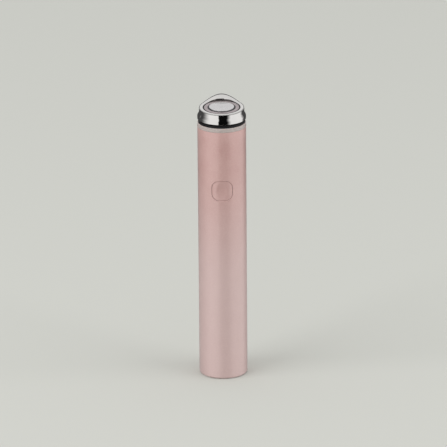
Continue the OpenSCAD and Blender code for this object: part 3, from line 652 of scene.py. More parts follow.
@dataclass(frozen=True)
class RoundRect:
    """Outline of a rectangle with round corners, centred, in millimetres."""

    width: float
    height: float
    corner: float

    def grown(self, margin: float) -> "RoundRect":
        """The same outline, wider all round by a margin."""
        return RoundRect(self.width + 2 * margin, self.height + 2 * margin, self.corner + margin)

    def distance(self, x: float, y: float) -> float:
        """Signed distance of a point from the outline, negative inside."""
        dx, dy = abs(x) - self.width / 2 + self.corner, abs(y) - self.height / 2 + self.corner
        return math.hypot(max(dx, 0), max(dy, 0)) + min(max(dx, dy), 0) - self.corner

    def toward(self, x: float, y: float) -> Point:
        """Finds the point of the outline in a direction from its middle.

        Args:
            x: The direction across.
            y: The direction up.

        Returns:
            The point.
        """
        size = math.hypot(x, y)
        low, high = 0.0, self.width + self.height
        for _ in range(40):
            middle = (low + high) / 2
            if self.distance(x / size * middle, y / size * middle) > 0:
                high = middle
            else:
                low = middle
        return (x / size * low, y / size * low)

    def points(self, count: int) -> list[Point]:
        """Points at equal steps along the outline, anticlockwise from the middle of the right side.

        Args:
            count: How many points; a multiple of 4 puts one on the middle of each side.

        Returns:
            The points.
        """
        side, top = self.height / 2 - self.corner, self.width / 2 - self.corner
        bend = self.corner * math.pi / 2
        quarter = side + bend + top
        made = []
        for i in range(count):
            number, way = divmod(4 * quarter * i / count, quarter)
            way = quarter - way if number in (1, 3) else way
            turn = min(max((way - side) / self.corner, 0.0), math.pi / 2)
            x = top + self.corner * math.cos(turn) - max(way - side - bend, 0.0)
            y = min(way, side) + self.corner * math.sin(turn)
            made.append((x if number in (0, 3) else -x, y if number in (0, 1) else -y))
        return made


# ---- meshes


@dataclass
class Sketch:
    """Points and faces of one piece, in millimetres."""

    points: list[Point] = field(default_factory=list)
    faces: list[Loop] = field(default_factory=list)
    marks: dict[str, dict[int, float]] = field(default_factory=dict)

    THIN = 0.6  # widest edge of a block as a share of half its side

    def loop(self, points: Iterable[Point]) -> Loop:
        """Adds a ring of points.

        Args:
            points: The points.

        Returns:
            Their places in the sketch.
        """
        start = len(self.points)
        self.points.extend(points)
        return list(range(start, len(self.points)))

    def mark(self, name: str, loop: Loop, value: float) -> None:
        """Gives the points of a ring a value under a name."""
        self.marks.setdefault(name, {}).update(dict.fromkeys(loop, value))

    def loft(self, loops: Sequence[Loop], closed: bool = False) -> None:
        """Joins each ring to the next one with faces; a ring of one point is a pole.

        Args:
            loops: The rings, of equally many points apart from the poles.
            closed: Whether the last ring joins the first.
        """
        for first, second in zip(loops, [*loops[1:], *(loops[:1] if closed else [])]):
            count = max(len(first), len(second))
            for i in range(count):
                j = (i + 1) % count
                if len(first) == 1:
                    self.faces.append([first[0], second[j], second[i]])
                elif len(second) == 1:
                    self.faces.append([first[i], first[j], second[0]])
                else:
                    self.faces.append([first[i], first[j], second[j], second[i]])

    def rings(self, profile: Iterable[Point], steps: int, centre: Point = (0.0, 0.0)) -> list[Loop]:
        """Adds rings round an upright axis.

        Args:
            profile: Radius and height of each ring; a radius of 0 gives a pole.
            steps: Points round the axis.
            centre: Where the axis stands.

        Returns:
            The rings.
        """
        loops = []
        for radius, z in profile:
            ways = circle(steps) if radius else [(0.0, 0.0)]
            loops.append(self.loop((centre[0] + radius * x, centre[1] + radius * y, z) for x, y in ways))
        return loops

    def turned(self, profile: Sequence[Point], steps: int = 96, centre: Point = (0.0, 0.0)) -> list[Loop]:
        """Turns a profile round an upright axis into a closed solid.

        Args:
            profile: Radius and height of its points, from pole to pole or all round.
            steps: Faces round the axis.
            centre: Where the axis stands.

        Returns:
            One ring for each point of the profile.
        """
        loops = self.rings(profile, steps, centre)
        self.loft(loops, closed=profile[0][0] > 0)
        return loops

    def pillar(self, outline: Sequence[Point], levels: Sequence[Point], centre: Point = (0.0, 0.0)) -> None:
        """Closed solid with one outline, whose ends are a little smaller where their edges are broken.

        Args:
            outline: Points of the outline round its own middle.
            levels: Pairs of height and inset, from one end to the other.
            centre: Where the outline's middle stands.
        """
        loops = []
        for height, inset in levels:
            shares = [1 - inset / math.hypot(*point) for point in outline]
            loops.append(self.loop((centre[0] + x * share, centre[1] + y * share, height)
                                   for (x, y), share in zip(outline, shares)))
        low, high = (self.loop([(*centre, levels[i][0])]) for i in (0, -1))
        self.loft([low, *loops, high])

    def block(self, low: Point, high: Point, edge: float = 0.05) -> None:
        """Closed block with its upright edges rounded and its ends broken.

        Args:
            low: Its lowest corner.
            high: Its highest corner.
            edge: Radius of the edges, which a thin block makes smaller.
        """
        middle, half = (Vector(high) + Vector(low)) / 2, (Vector(high) - Vector(low)) / 2
        edge = min(edge, half.x * self.THIN, half.y * self.THIN)
        corners = [(half.x, -half.y, edge), (half.x, half.y, edge), (-half.x, half.y, edge),
                   (-half.x, -half.y, edge)]
        step = min(edge, half.z * self.THIN)
        levels = [(low[2], step), (low[2] + step, 0.0), (high[2] - step, 0.0), (high[2], step)]
        self.pillar(softened(corners, 2), levels, middle.xy)

    def swept(self, loops: Iterable[Iterable[Point]]) -> None:
        """Closed solid through loops of equally many points, flat at both ends.

        Args:
            loops: The loops, from one end to the other.
        """
        rings = [self.loop(points) for points in loops]
        self.loft(rings)
        self.faces += [rings[0][::-1], rings[-1]]

    def moved(self, matrix: Matrix) -> "Sketch":
        """Moves all points by a matrix in millimetres, and returns the sketch."""
        self.points = [tuple(matrix @ Vector(point)) for point in self.points]
        return self

    def join(self, other: "Sketch", matrix: Matrix) -> None:
        """Adds another sketch's points and faces.

        Args:
            other: The other sketch.
            matrix: What moves it, in millimetres.
        """
        shift = len(self.points)
        self.points += other.moved(matrix).points
        self.faces += [[i + shift for i in face] for face in other.faces]

    def mesh(self, name: str) -> bpy.types.Mesh:
        """Makes the mesh in metres, its doubles merged and its faces pointing outwards.

        Args:
            name: Name of the mesh.

        Returns:
            The mesh.
        """
        shape = bare(self.points, faces=self.faces)
        shape.name = name
        for mark, values in self.marks.items():
            layer = shape.attributes.new(mark, "FLOAT", "POINT")
            for i, value in values.items():
                layer.data[i].value = value
        work = bmesh.new()
        work.from_mesh(shape)
        bmesh.ops.remove_doubles(work, verts=work.verts, dist=MERGE)
        bmesh.ops.dissolve_degenerate(work, edges=work.edges, dist=MERGE / 10)
        bmesh.ops.recalc_face_normals(work, faces=work.faces)
        work.to_mesh(shape)
        work.free()
        return shape


def bare(points: Iterable[Point], edges: Sequence[Loop] = (), faces: Sequence[Loop] = ()) -> bpy.types.Mesh:
    """Makes a plain mesh.

    Args:
        points: Its points in millimetres.
        edges: Pairs of points that an edge joins.
        faces: Rings of points that a face fills.

    Returns:
        The mesh, in metres.
    """
    mesh = bpy.data.meshes.new("bare")
    mesh.from_pydata([Vector(point) * MM for point in points], edges, faces)
    return mesh


def shown(name: str, data: Any) -> bpy.types.Object:
    """Adds an object to the scene.

    Args:
        name: Its name.
        data: Its mesh, lamp or camera.

    Returns:
        The object.
    """
    thing = bpy.data.objects.new(name, data)
    bpy.context.scene.collection.objects.link(thing)
    return thing


def dress(node: str, look: Look) -> None:
    """Gives a node of the frame its finish and leaves its shape alone.

    Args:
        node: Name of the node.
        look: Its finish.
    """
    materials = frame["nodes"][node].data.materials
    materials.clear()
    materials.append(look.material)
    log.info("node %s: %s", node, look.value.name)


def fit(name: str, node: str, mesh: bpy.types.Mesh, look: Look) -> None:
    """Adds a finished piece to the scene in place of a node of the frame.

    Args:
        name: Name of the piece.
        node: The node that it replaces, and whose body it rides.
        mesh: Its mesh, in place.
        look: Its finish.
    """
    mesh.shade_smooth()
    mesh.set_sharp_from_angle(angle=SHARP)
    mesh.materials.clear()
    mesh.materials.append(look.material)
    thing = shown(name, mesh)
    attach(thing, BODY_OF[node])
    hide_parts(node)
    log.info("piece %s: %d faces, on %s", name, len(mesh.polygons), BODY_OF[node])


# ---- recipes for meshes


class Recipe(Tree):
    """A Geometry Nodes tree with named inputs for its sizes."""

    KINDS = {
        int: "NodeSocketInt", float: "NodeSocketFloat", bpy.types.Object: "NodeSocketObject",
        bpy.types.Mesh: "NodeSocketGeometry", bpy.types.Material: "NodeSocketMaterial",
    }

    def __init__(self, name: str, **sizes: type) -> None:
        """Starts the tree.

        Args:
            name: Name of the tree.
            sizes: The type of each input, by its name with _ for a space.
        """
        super().__init__(bpy.data.node_groups.new(name, "GeometryNodeTree"))
        inputs = {"Geometry": bpy.types.Mesh, **sizes, "Material": bpy.types.Material}
        for label, kind in inputs.items():
            self.tree.interface.new_socket(label.replace("_", " "), socket_type=self.KINDS[kind])
        self.tree.interface.new_socket("Geometry", in_out="OUTPUT", socket_type="NodeSocketGeometry")
        self.given = self.add("NodeGroupInput").outputs
        self.here = self.add(SPLIT_XYZ, self.add("GeometryNodeInputPosition")).outputs

    def end(self, geometry: Node) -> None:
        """Ends the tree with real geometry and its material."""
        real = self.add("GeometryNodeRealizeInstances", geometry)
        self.add("NodeGroupOutput",
                 self.add("GeometryNodeSetMaterial", real, Material=self.given["Material"]))

    def mesh(self, name: str, look: Look, start: bpy.types.Mesh | None = None,
             piece: bpy.types.Mesh | None = None, **sizes: Any) -> bpy.types.Mesh:
        """Runs the tree and returns the result as a plain mesh.

        Args:
            name: Name of the result.
            look: Its finish.
            start: The mesh that the tree starts from, where it takes one.
            piece: The mesh that the tree copies, where it copies one.
            sizes: A value for each input, by its name with _ for a space.

        Returns:
            The result.
        """
        carrier = shown(name + ".start", start or bare([]))
        source = shown(name + ".piece", piece)
        modifier = carrier.modifiers.new("recipe", "NODES")
        modifier.node_group = self.tree
        given = {**sizes, "Material": look.material, "Piece": source}
        for item in self.tree.interface.items_tree:
            label = item.name.replace(" ", "_")
            if item.in_out == "INPUT" and label in given:
                modifier[item.identifier] = given[label]
        graph = bpy.context.evaluated_depsgraph_get()
        made = bpy.data.meshes.new_from_object(carrier.evaluated_get(graph), depsgraph=graph)
        made.name = name
        carrier.modifiers.remove(modifier)
        for helper in (carrier, source):
            bpy.data.objects.remove(helper)
        return made


class SpotsRecipe(Recipe):
    """A copy of a piece on every point of a mesh."""

    def __init__(self, name: str = "copies_on_spots", **sizes: type) -> None:
        """Starts the tree, and ends it unless it has sizes of its own.

        Args:
            name: Name of the tree.
            sizes: The type of each further input.
        """
        super().__init__(name, Piece=bpy.types.Object, **sizes)
        if not sizes:
            self.end(self.copies(self.given["Geometry"], 0.0))

    def copies(self, points: Any, turn: Any) -> Node:
        """Puts a copy of the piece on each of the points, turned about the Z axis."""
        piece = self.add("GeometryNodeObjectInfo", self.given["Piece"]).outputs["Geometry"]
        return self.add("GeometryNodeInstanceOnPoints", points, Instance=piece,
                        Rotation=self.add("FunctionNodeEulerToRotation", self.add(JOIN_XYZ, Z=turn)))


class RingRecipe(SpotsRecipe):
    """Copies of a piece at equal steps round the Z axis, each facing outwards."""

    def __init__(self) -> None:
        """Builds the tree."""
        super().__init__("copies_in_a_ring", Count=int, Radius=float, Height=float)
        ring = self.add("GeometryNodeMeshCircle", self.given["Count"], self.given["Radius"])
        turn = self.add("ARCTAN2", self.here["Y"], self.here["X"])
        lift = self.add(JOIN_XYZ, Z=self.given["Height"])
        self.end(self.add("GeometryNodeTransform", self.copies(ring, turn), Translation=lift))


class GridRecipe(SpotsRecipe):
    """Copies of a piece in columns and rows round the origin; the left half faces left."""

    def __init__(self) -> None:
        """Builds the tree."""
        super().__init__("copies_in_a_grid", Width=float, Height=float, Columns=int, Rows=int)
        grid = self.add("GeometryNodeMeshGrid",
                        *(self.given[name] for name in ("Width", "Height", "Columns", "Rows")))
        left = self.add("LESS_THAN", self.here["X"], 0.0)
        self.end(self.copies(grid, self.add("MULTIPLY", left, math.pi)))


class TubeRecipe(Recipe):
    """A round wire along the edges of a mesh, its corners bent to a radius."""

    BEND_STEPS = 8
    ROUND_STEPS = 12

    def __init__(self) -> None:
        """Builds the tree."""
        super().__init__("wire_along_path", Bend=float, Radius=float)
        path = self.add("GeometryNodeMeshToCurve", self.given["Geometry"])
        bent = self.add("GeometryNodeFilletCurve", path, self.BEND_STEPS, self.given["Bend"], mode="POLY")
        self.end(self.skin(bent))

    def skin(self, path: Node) -> Node:
        """Round skin along a curve, closed at its ends."""
        ring = self.add("GeometryNodeCurvePrimitiveCircle", self.ROUND_STEPS, self.given["Radius"],
                        mode="RADIUS")
        return self.add("GeometryNodeCurveToMesh", path, ring, Fill_Caps=True)


class WindingRecipe(TubeRecipe):
    """Wire wound on a square former: a circle's path cut off at the former's four sides."""

    STEPS = 32.0  # points in one turn
    CORNER = 1.2  # how far the circle reaches past the sides: a larger one has sharper corners

    def __init__(self) -> None:
        """Builds the tree."""
        Recipe.__init__(self, "wound_wire", Turns=int, Pitch=float, Half_width=float, Half_depth=float,
                        Radius=float)
        count = self.add("MULTIPLY", self.given["Turns"], self.STEPS)
        turn = self.add("DIVIDE", self.add("GeometryNodeInputIndex"), self.STEPS)
        place = self.add(JOIN_XYZ, self._side("COSINE", turn, "Half width"),
                         self._side("SINE", turn, "Half depth"),
                         self.add("MULTIPLY", turn, self.given["Pitch"]))
        wound = self.add("GeometryNodeSetPosition", self.add("GeometryNodeMeshLine", count), Position=place)
        self.end(self.skin(self.add("GeometryNodeMeshToCurve", wound)))

    def _side(self, wave: str, turn: Node, half: str) -> Node:
        """One coordinate of the path, the SINE or COSINE of the turns, cut off at half the former's size."""
        tall = self.add("MULTIPLY", self.add(wave, self.add("MULTIPLY", turn, 2 * math.pi)), self.CORNER)
        return self.add("MULTIPLY", self.add("ShaderNodeClamp", tall, -1.0, 1.0), self.given[half])


class ThreadRecipe(Recipe):
    """Raises a thread on the points of a turned shank that are marked for it."""

    def __init__(self) -> None:
        """Builds the tree."""
        super().__init__("rolled_thread", Pitch=float, Depth=float)
        turn = self.add("DIVIDE", self.add("ARCTAN2", self.here["Y"], self.here["X"]), 2 * math.pi)
        wave = self.add("SUBTRACT", self.add("DIVIDE", self.here["Z"], self.given["Pitch"]), turn)
        ridge = self.add("MULTIPLY", self.add("PINGPONG", wave, 0.5), 2.0)
        share = self.add("GeometryNodeInputNamedAttribute", "thread", data_type="FLOAT")
        size = self.add("MULTIPLY", ridge, self.add("MULTIPLY", self.given["Depth"], share))
        flat = self.add(JOIN_XYZ, self.here["X"], self.here["Y"], 0.0)
        out = self.add(VECTOR, flat, operation="NORMALIZE")
        shift = self.add(VECTOR, out, size, operation="SCALE")
        self.end(self.add("GeometryNodeSetPosition", self.given["Geometry"], Offset=shift))


# ---- camera and studio


@dataclass(frozen=True)
class Shot:
    """The camera, a long lens well away from the object. Lengths in millimetres, angles in degrees."""

    elevation: float = 19.5
    distance: float = 2300.0
    view_width: float = 212.4
    sensor: float = 36.0
    clip: Point = (0.1, 60.0)  # nearest and farthest that it sees, in metres
    aim_height: float = 74.9
    aim_right: float = 0.5
    lean: float = 0.43

    def build(self) -> None:
        """Places the camera and makes it the scene's."""
        camera = shown("camera", bpy.data.cameras.new("camera"))
        camera.data.sensor_width = self.sensor
        camera.data.lens = self.sensor * self.distance / self.view_width
        camera.data.clip_start, camera.data.clip_end = self.clip
        angle = math.radians(self.elevation)
        back = Vector((0.0, -math.cos(angle), math.sin(angle)))
        aim = Vector((self.aim_right, 0.0, self.aim_height))
        camera.location = (aim + back * self.distance) * MM
        camera.rotation_mode = "QUATERNION"
        leaning = Matrix.Rotation(math.radians(-self.lean), 4, "Z").to_quaternion()
        camera.rotation_quaternion = (-back).to_track_quat("-Z", "Y") @ leaning
        bpy.context.scene.camera = camera


@dataclass(frozen=True)
class Window:
    """A bright or dark field of the studio, as polished metal mirrors it. Angles in degrees."""

    left: float
    right: float
    low: float
    high: float
    level: float
    soft_left: float = 3.0
    soft_right: float = 3.0
    droop: float = 0.0  # how far the upper edge has sunk at DROOP_AT

    DROOP_AT = 100.0
    SOFT = 3.0  # width of the change at the lower and the upper edge

    def mask(self, world: Tree, turn: Node, rise: Node) -> Node:
        """1 inside the window and 0 outside it.

        Args:
            world: The world's tree.
            turn: Angle round the object, 0 at the front.
            rise: Angle above the floor.

        Returns:
            The node that gives the mask.
        """
        side = world.add("DIVIDE", turn, self.DROOP_AT)
        sunk = world.add("MULTIPLY_ADD", world.add("MULTIPLY", side, side), self.droop, rise)
        edges = [(rise, self.low, self.SOFT), (sunk, self.high, self.SOFT)]
        if self.right - self.left < 360:
            edges += [(turn, self.left, self.soft_left), (turn, self.right, self.soft_right)]
        past = [world.add(RANGE, angle, at - soft / 2, at + soft / 2,
                          interpolation_type="SMOOTHSTEP") for angle, at, soft in edges]
        shares = [world.add("SUBTRACT", *pair) for pair in zip(past[::2], past[1::2])]
        return shares[0] if len(shares) == 1 else world.add("MULTIPLY", *shares)


@dataclass(frozen=True)
class Studio:
    """Pale floor, soft lamps and the room that polished metal mirrors."""

    backdrop: str = "#c8c9c3"
    sky: float = 0.8
    room: float = 0.82
    floor_size: float = 20000.0
    floor_drop: float = 0.02
    aim: float = 0.07  # height in metres that the lamps point at
    lamp_size: float = 1.5
    lamps: tuple[tuple[str, Point, float], ...] = (  # place in metres, and watts
        ("key", (-1.6, -0.9, 1.2), 19.0), ("fill", (1.7, -0.6, 1.0), 12.0))
    windows: tuple[Window, ...] = (
        Window(-180, 180, -38, 10, 0.07),
        Window(-128, 128, 0, 44, 0.06, 20.0, 20.0, 18.0),
        Window(-30, 50, -44, 44, 0.004, 3.0, 3.0, 18.0),
        Window(-85, -16, -40, 44, 0.95, 50.0, 5.0, 18.0),
        Window(37, 118, -40, 44, 0.95, 24.0, 23.0, 18.0),
        Window(-180, 180, -90, -50, 0.012),
    )

    def build(self) -> None:
        """Makes the floor, the lamps and the world."""
        self._floor()
        for lamp in self.lamps:
            self._lamp(*lamp)
        self._world()
        bpy.context.scene.view_settings.view_transform = "Standard"

    def _floor(self) -> None:
        """Large plain floor, which keeps the object's shadow and stays out of the mirror picture."""
        half, low = self.floor_size / 2, -self.floor_drop
        corners = [(-half, -half, low), (half, -half, low), (half, half, low), (-half, half, low)]
        floor = shown("floor", bare(corners, faces=[[0, 1, 2, 3]]))
        material = bpy.data.materials.new("matt_paper")
        material.use_nodes = True
        paper = Tree(material.node_tree)
        paper.add("ShaderNodeOutputMaterial", paper.add("ShaderNodeBsdfDiffuse", linear(self.backdrop)))
        floor.data.materials.append(material)
        floor.visible_glossy = False

    def _lamp(self, name: str, place: Point, power: float) -> None:
        """Large soft lamp that points at the object and isn't seen in it.

        Args:
            name: Name of the lamp.
            place: Where it hangs, in metres.
            power: Its power in watts.
        """
        lamp = shown(name, bpy.data.lights.new(name, "AREA"))
        lamp.data.size = self.lamp_size
        lamp.data.energy = power
        lamp.location = place
        lamp.rotation_mode = "QUATERNION"
        lamp.rotation_quaternion = (Vector((0.0, 0.0, self.aim)) - lamp.location).to_track_quat("-Z", "Y")
        lamp.visible_glossy = False

    def _world(self) -> None:
        """Even light for the surfaces, a pale backdrop, and the windows for what polished metal mirrors."""
        scene = bpy.context.scene
        scene.world = bpy.data.worlds.new("studio")
        scene.world.use_nodes = True
        world = Tree(scene.world.node_tree)
        ray = world.add("ShaderNodeLightPath").outputs
        mirrored = self._mirrored(world)
        lit = world.add(MIX, ray["Is Glossy Ray"], self.sky, mirrored, data_type="FLOAT")
        seen = world.add(MIX, ray["Is Camera Ray"], lit, linear(self.backdrop), data_type="RGBA")
        world.add("ShaderNodeOutputWorld", world.add("ShaderNodeBackground", seen, 1.0))

    def _mirrored(self, world: Tree) -> Node:
        """Brightness of the room in each direction.

        Args:
            world: The world's tree.

        Returns:
            The node that gives the brightness.
        """
        way = world.add(SPLIT_XYZ, world.add("ShaderNodeTexCoord").outputs["Generated"]).outputs
        round_axis = world.add("ARCTAN2", way["X"], world.add("MULTIPLY", way["Y"], -1.0))
        above = world.add("ARCSINE", way["Z"])
        turn, rise = (world.add("DEGREES", angle) for angle in (round_axis, above))
        level: Any = self.room
        for window in self.windows:
            mask = window.mask(world, turn, rise)
            level = world.add(MIX, mask, level, window.level, data_type="FLOAT")
        return level


# ---- barrel and button


@dataclass(frozen=True)
class Barrel:
    """One-piece outer tube with a rounded standing edge and the opening for the button."""

    edge: float = 1.0
    lip: float = 0.12
    lip_slope: Point = (0.04, 0.03)  # how far in and down the lip's rounding begins
    opening: RoundRect = RoundRect(9.88, 9.88, 3.54)
    opening_edge: float = 0.16
    steps: int = 192
    patch: int = 22  # grid steps from the button's middle to the edge of its patch
    rings: int = 6  # loops between the opening and the edge of its patch
    crowding: float = 0.8  # below 1 the loops lie closer together near the opening
    below: int = 16  # rows of the grid under the patch
    above: int = 4
    worn: Point = (0.9, 0.8, 0.6)  # wear of the opening, the foot and the top

    def _rows(self) -> tuple[list[float], int, int]:
        """Heights of the grid's rows, and the first and last row of the button's patch.

        Returns:
            The heights and the two row numbers.
        """
        step = 2 * math.pi * STACK.barrel_r / self.steps
        low, high = (STACK.button_z + side * self.patch * step for side in (-1, 1))
        top = STACK.barrel_top - self.lip
        rows = [self.edge + (low - self.edge) * i / self.below for i in range(self.below)]
        rows += [low + step * i for i in range(2 * self.patch + 1)]
        rows += [high + (top - high) * (i + 1) / self.above for i in range(self.above)]
        return rows, self.below, self.below + 2 * self.patch

    def _around(self, sketch: Sketch, like: Loop, outline: RoundRect, radius: float, depth: float = 0.0,
                share: float = 1.0) -> Loop:
        """Adds a ring round the opening whose points have the directions of another ring's.

        Args:
            sketch: Gets the points.
            like: The other ring.
            outline: The outline that it goes to, seen from the front.
            radius: Radius of the cylinder that it follows.
            depth: How far it lies below that cylinder.
            share: How far it goes from the other ring to the outline.

        Returns:
            The ring.
        """
        ring = []
        for x, _, height in [sketch.points[i] for i in like]:
            here = Vector((x, height - STACK.button_z))
            x, z = here.lerp(Vector(outline.toward(*here)), share)
            ring.append((x, depth - math.sqrt(radius * radius - x * x), STACK.button_z + z))
        return sketch.loop(ring)

    def _skin(self, sketch: Sketch, radius: float, outline: RoundRect) -> tuple[Loop, Loop, Loop]:
        """One cylinder of the tube with the opening left out.

        Args:
            sketch: Gets the points and faces.
            radius: Radius of the cylinder.
            outline: Outline of the opening, seen from the front.

        Returns:
            The lowest ring, the highest ring and the ring round the opening.
        """
        rows, first, last = self._rows()
        count, reach = self.steps, self.patch
        where = {}
        for row, z in enumerate(rows):
            for column, (x, y) in enumerate(circle(count)):
                if not (first < row < last and min(column, count - column) < reach):
                    where[row, column], = sketch.loop([(radius * x, radius * y, z)])
        for row in range(len(rows) - 1):
            for column in range(count):
                beside = (column + 1) % count
                corners = [(row, column), (row, beside), (row + 1, beside), (row + 1, column)]
                if all(corner in where for corner in corners):
                    sketch.faces.append([where[corner] for corner in corners])
        border = [(first, column) for column in range(-reach, reach)]
        border += [(row, reach) for row in range(first, last)]
        border += [(last, column) for column in range(reach, -reach, -1)]
        border += [(row, -reach) for row in range(last, first, -1)]
        loops = [[where[row, column % count] for row, column in border]]
        for ring in range(1, self.rings + 1):
            share = (ring / self.rings) ** self.crowding
            loops.append(self._around(sketch, loops[0], outline, radius, 0.0, share))
        sketch.loft(loops)
        low, high = ([where[row, column] for column in range(count)] for row in (0, len(rows) - 1))
        return low, high, loops[-1]

    def mesh(self) -> bpy.types.Mesh:
        """Builds the tube: outer skin, opening, bore and both ends.

        Returns:
            The mesh.
        """
        sketch = Sketch()
        outer, bore, top = STACK.barrel_r, STACK.bore_r, STACK.barrel_top
        low_out, high_out, hole = self._skin(sketch, outer, self.opening.grown(self.opening_edge))
        low_in, high_in, hole_in = self._skin(sketch, bore, self.opening)
        walls = [hole]
        for margin, depth in arc([self.opening_edge] * 2, self.opening_edge, -90, -180, 5)[1:]:
            walls.append(self._around(sketch, hole, self.opening.grown(margin), outer, depth))
        sketch.loft([*walls, hole_in])
        foot = arc((outer - self.edge, self.edge), self.edge, -10, -90, 8)
        feet = sketch.rings([*foot, (bore + self.lip, 0.0), (bore, self.lip)], self.steps)
        sketch.loft([low_out, *feet, low_in])
        slope_in, slope_down = self.lip_slope
        lip = [(outer - slope_in, top - slope_down), (outer - self.lip, top), (bore + self.lip, top)]
        sketch.loft([high_out, *sketch.rings(lip, self.steps), high_in])
        for loops, wear in zip((walls, feet[3:9], [high_out]), self.worn):
            for loop in loops:
                sketch.mark("edge", loop, wear)
        return sketch.mesh("barrel")

    def build(self) -> None:
        """Makes the barrel."""
        fit("barrel_tube", "barrel", self.mesh(), Look.SATIN_PINK)


@dataclass(frozen=True)
class Button:
    """Flush push button with a shallow finger dish, the ears that hold it, and its plunger."""

    face: RoundRect = RoundRect(9.72, 9.72, 3.46)
    face_r: float = STACK.barrel_r - 0.2
    shell: float = 1.15
    edge: float = 0.22
    back_edge: float = 0.1
    dish: float = 0.45
    dish_r: float = 22.0
    blend: float = 0.05  # depth over which the face runs into the dish
    ear_w: float = 7.0
    ear_out: float = 0.9
    ear_t: float = 0.8
    rib_inset: float = 0.4
    plunger_r: float = 1.5
    plunger_edge: float = 0.15
    worn: float = 0.7
    points: int = 160
    columns: int = 24
    shares: Point = (0.06, 0.15, 0.25, 0.35, 0.45, 0.55, 0.65, 0.74, 0.82, 0.88, 0.93, 0.97, 1.0)
    back_shares: Point = (0.75, 0.5, 0.25)

    def _front(self, x: float, z: float) -> float:
        """Finds the Y of the face: the cylinder, blended into the dish.

        Args:
            x: Place across.
            z: Height above the button's middle.

        Returns:
            The face's Y there.
        """
        round_y = -math.sqrt(self.face_r ** 2 - x * x)
        dish_y = math.sqrt(self.dish_r ** 2 - x * x - z * z) - (self.face_r - self.dish + self.dish_r)
        near = max(0.0, 1 - abs(dish_y - round_y) / self.blend)
        return max(round_y, dish_y) + self.blend * near ** 2 / 4

    def _back(self, x: float, z: float) -> float:
        """Y of the cap's inner side, a cylinder."""
        return -math.sqrt((self.face_r - self.shell) ** 2 - x * x)

    def _ring(self, sketch: Sketch, side: Callable[[float, float], float], outline: RoundRect,
              share: float = 1.0, depth: float = 0.0) -> Loop:
        """Adds a ring of the cap.

        Args:
            sketch: Gets the points.
            side: Gives the Y of the side that the ring lies on.
            outline: The ring's outline.
            share: How far the outline is shrunk.
            depth: How far the ring lies behind the side.

        Returns:
            The ring.
        """
        flat = [(x * share, z * share) for x, z in outline.points(self.points)]
        return sketch.loop((x, side(x, z) + depth, STACK.button_z + z) for x, z in flat)

    def _cap(self, sketch: Sketch) -> None:
        """Adds the cap's shell: dished face, rounded edge, wall and inner side.

        Args:
            sketch: Gets the shell.
        """
        inner, narrow = self.face.grown(-self.edge), self.face.grown(-self.back_edge)
        loops = [sketch.loop([(0.0, self._front(0.0, 0.0), STACK.button_z)])]
        loops += [self._ring(sketch, self._front, inner, share) for share in self.shares]
        for margin, depth in arc([self.edge] * 2, self.edge, -90, -180, 5)[1:]:
            loops.append(self._ring(sketch, self._front, self.face.grown(-margin), 1.0, depth))
            sketch.mark("edge", loops[-1], self.worn)
        loops.append(self._ring(sketch, self._back, self.face, 1.0, -self.back_edge))
        loops.append(self._ring(sketch, self._back, narrow))
        loops += [self._ring(sketch, self._back, self.face, share) for share in self.back_shares]
        loops.append(sketch.loop([(0.0, self._back(0.0, 0.0), STACK.button_z)]))
        sketch.loft(loops)

    def _plate(self, sketch: Sketch, outer: float, half_w: float, half_h: float) -> None:
        """Adds a plate bent round the barrel's axis, down to the inner side of the ears.

        Args:
            sketch: Gets the plate.
            outer: Radius of its outside.
            half_w: Half its width.
            half_h: Half its height.
        """
        inner = STACK.plug_r - self.ear_t
        section = [(outer, -half_h), (outer, half_h), (inner, half_h), (inner, -half_h)]
        across = [half_w * (2 * i / self.columns - 1) for i in range(self.columns + 1)]
        sketch.swept([(x, -math.sqrt(r * r - x * x), STACK.button_z + z) for r, z in section] for x in across)

    def _plunger(self, sketch: Sketch) -> None:
        """Adds the round post on the back of the cap that rests on the switch.

        Args:
            sketch: Gets the post.
        """
        start, end = self.ear_t / 2 - STACK.plug_r, Box.of("switch_stem").low.y
        post = Sketch()
        post.turned([(0.0, start), (self.plunger_r, start), (self.plunger_r, end - self.plunger_edge),
                     (self.plunger_r - self.plunger_edge, end), (0.0, end)], 48)
        sketch.join(post, Matrix.Translation((0, 0, STACK.button_z)) @ LYING)

    def build(self) -> None:
        """Makes the cap with its ears, rib and plunger, which moves with its own body."""
        sketch = Sketch()
        self._cap(sketch)
        half_w, half_h = self.ear_w / 2, self.face.height / 2
        self._plate(sketch, STACK.plug_r, half_w, half_h + self.ear_out)
        self._plate(sketch, self.face_r - self.shell / 2, half_w - self.rib_inset, half_h - self.rib_inset)
        self._plunger(sketch)
        fit("push_button", "button_cap", sketch.mesh("button"), Look.BUTTON_PINK)


# ---- head


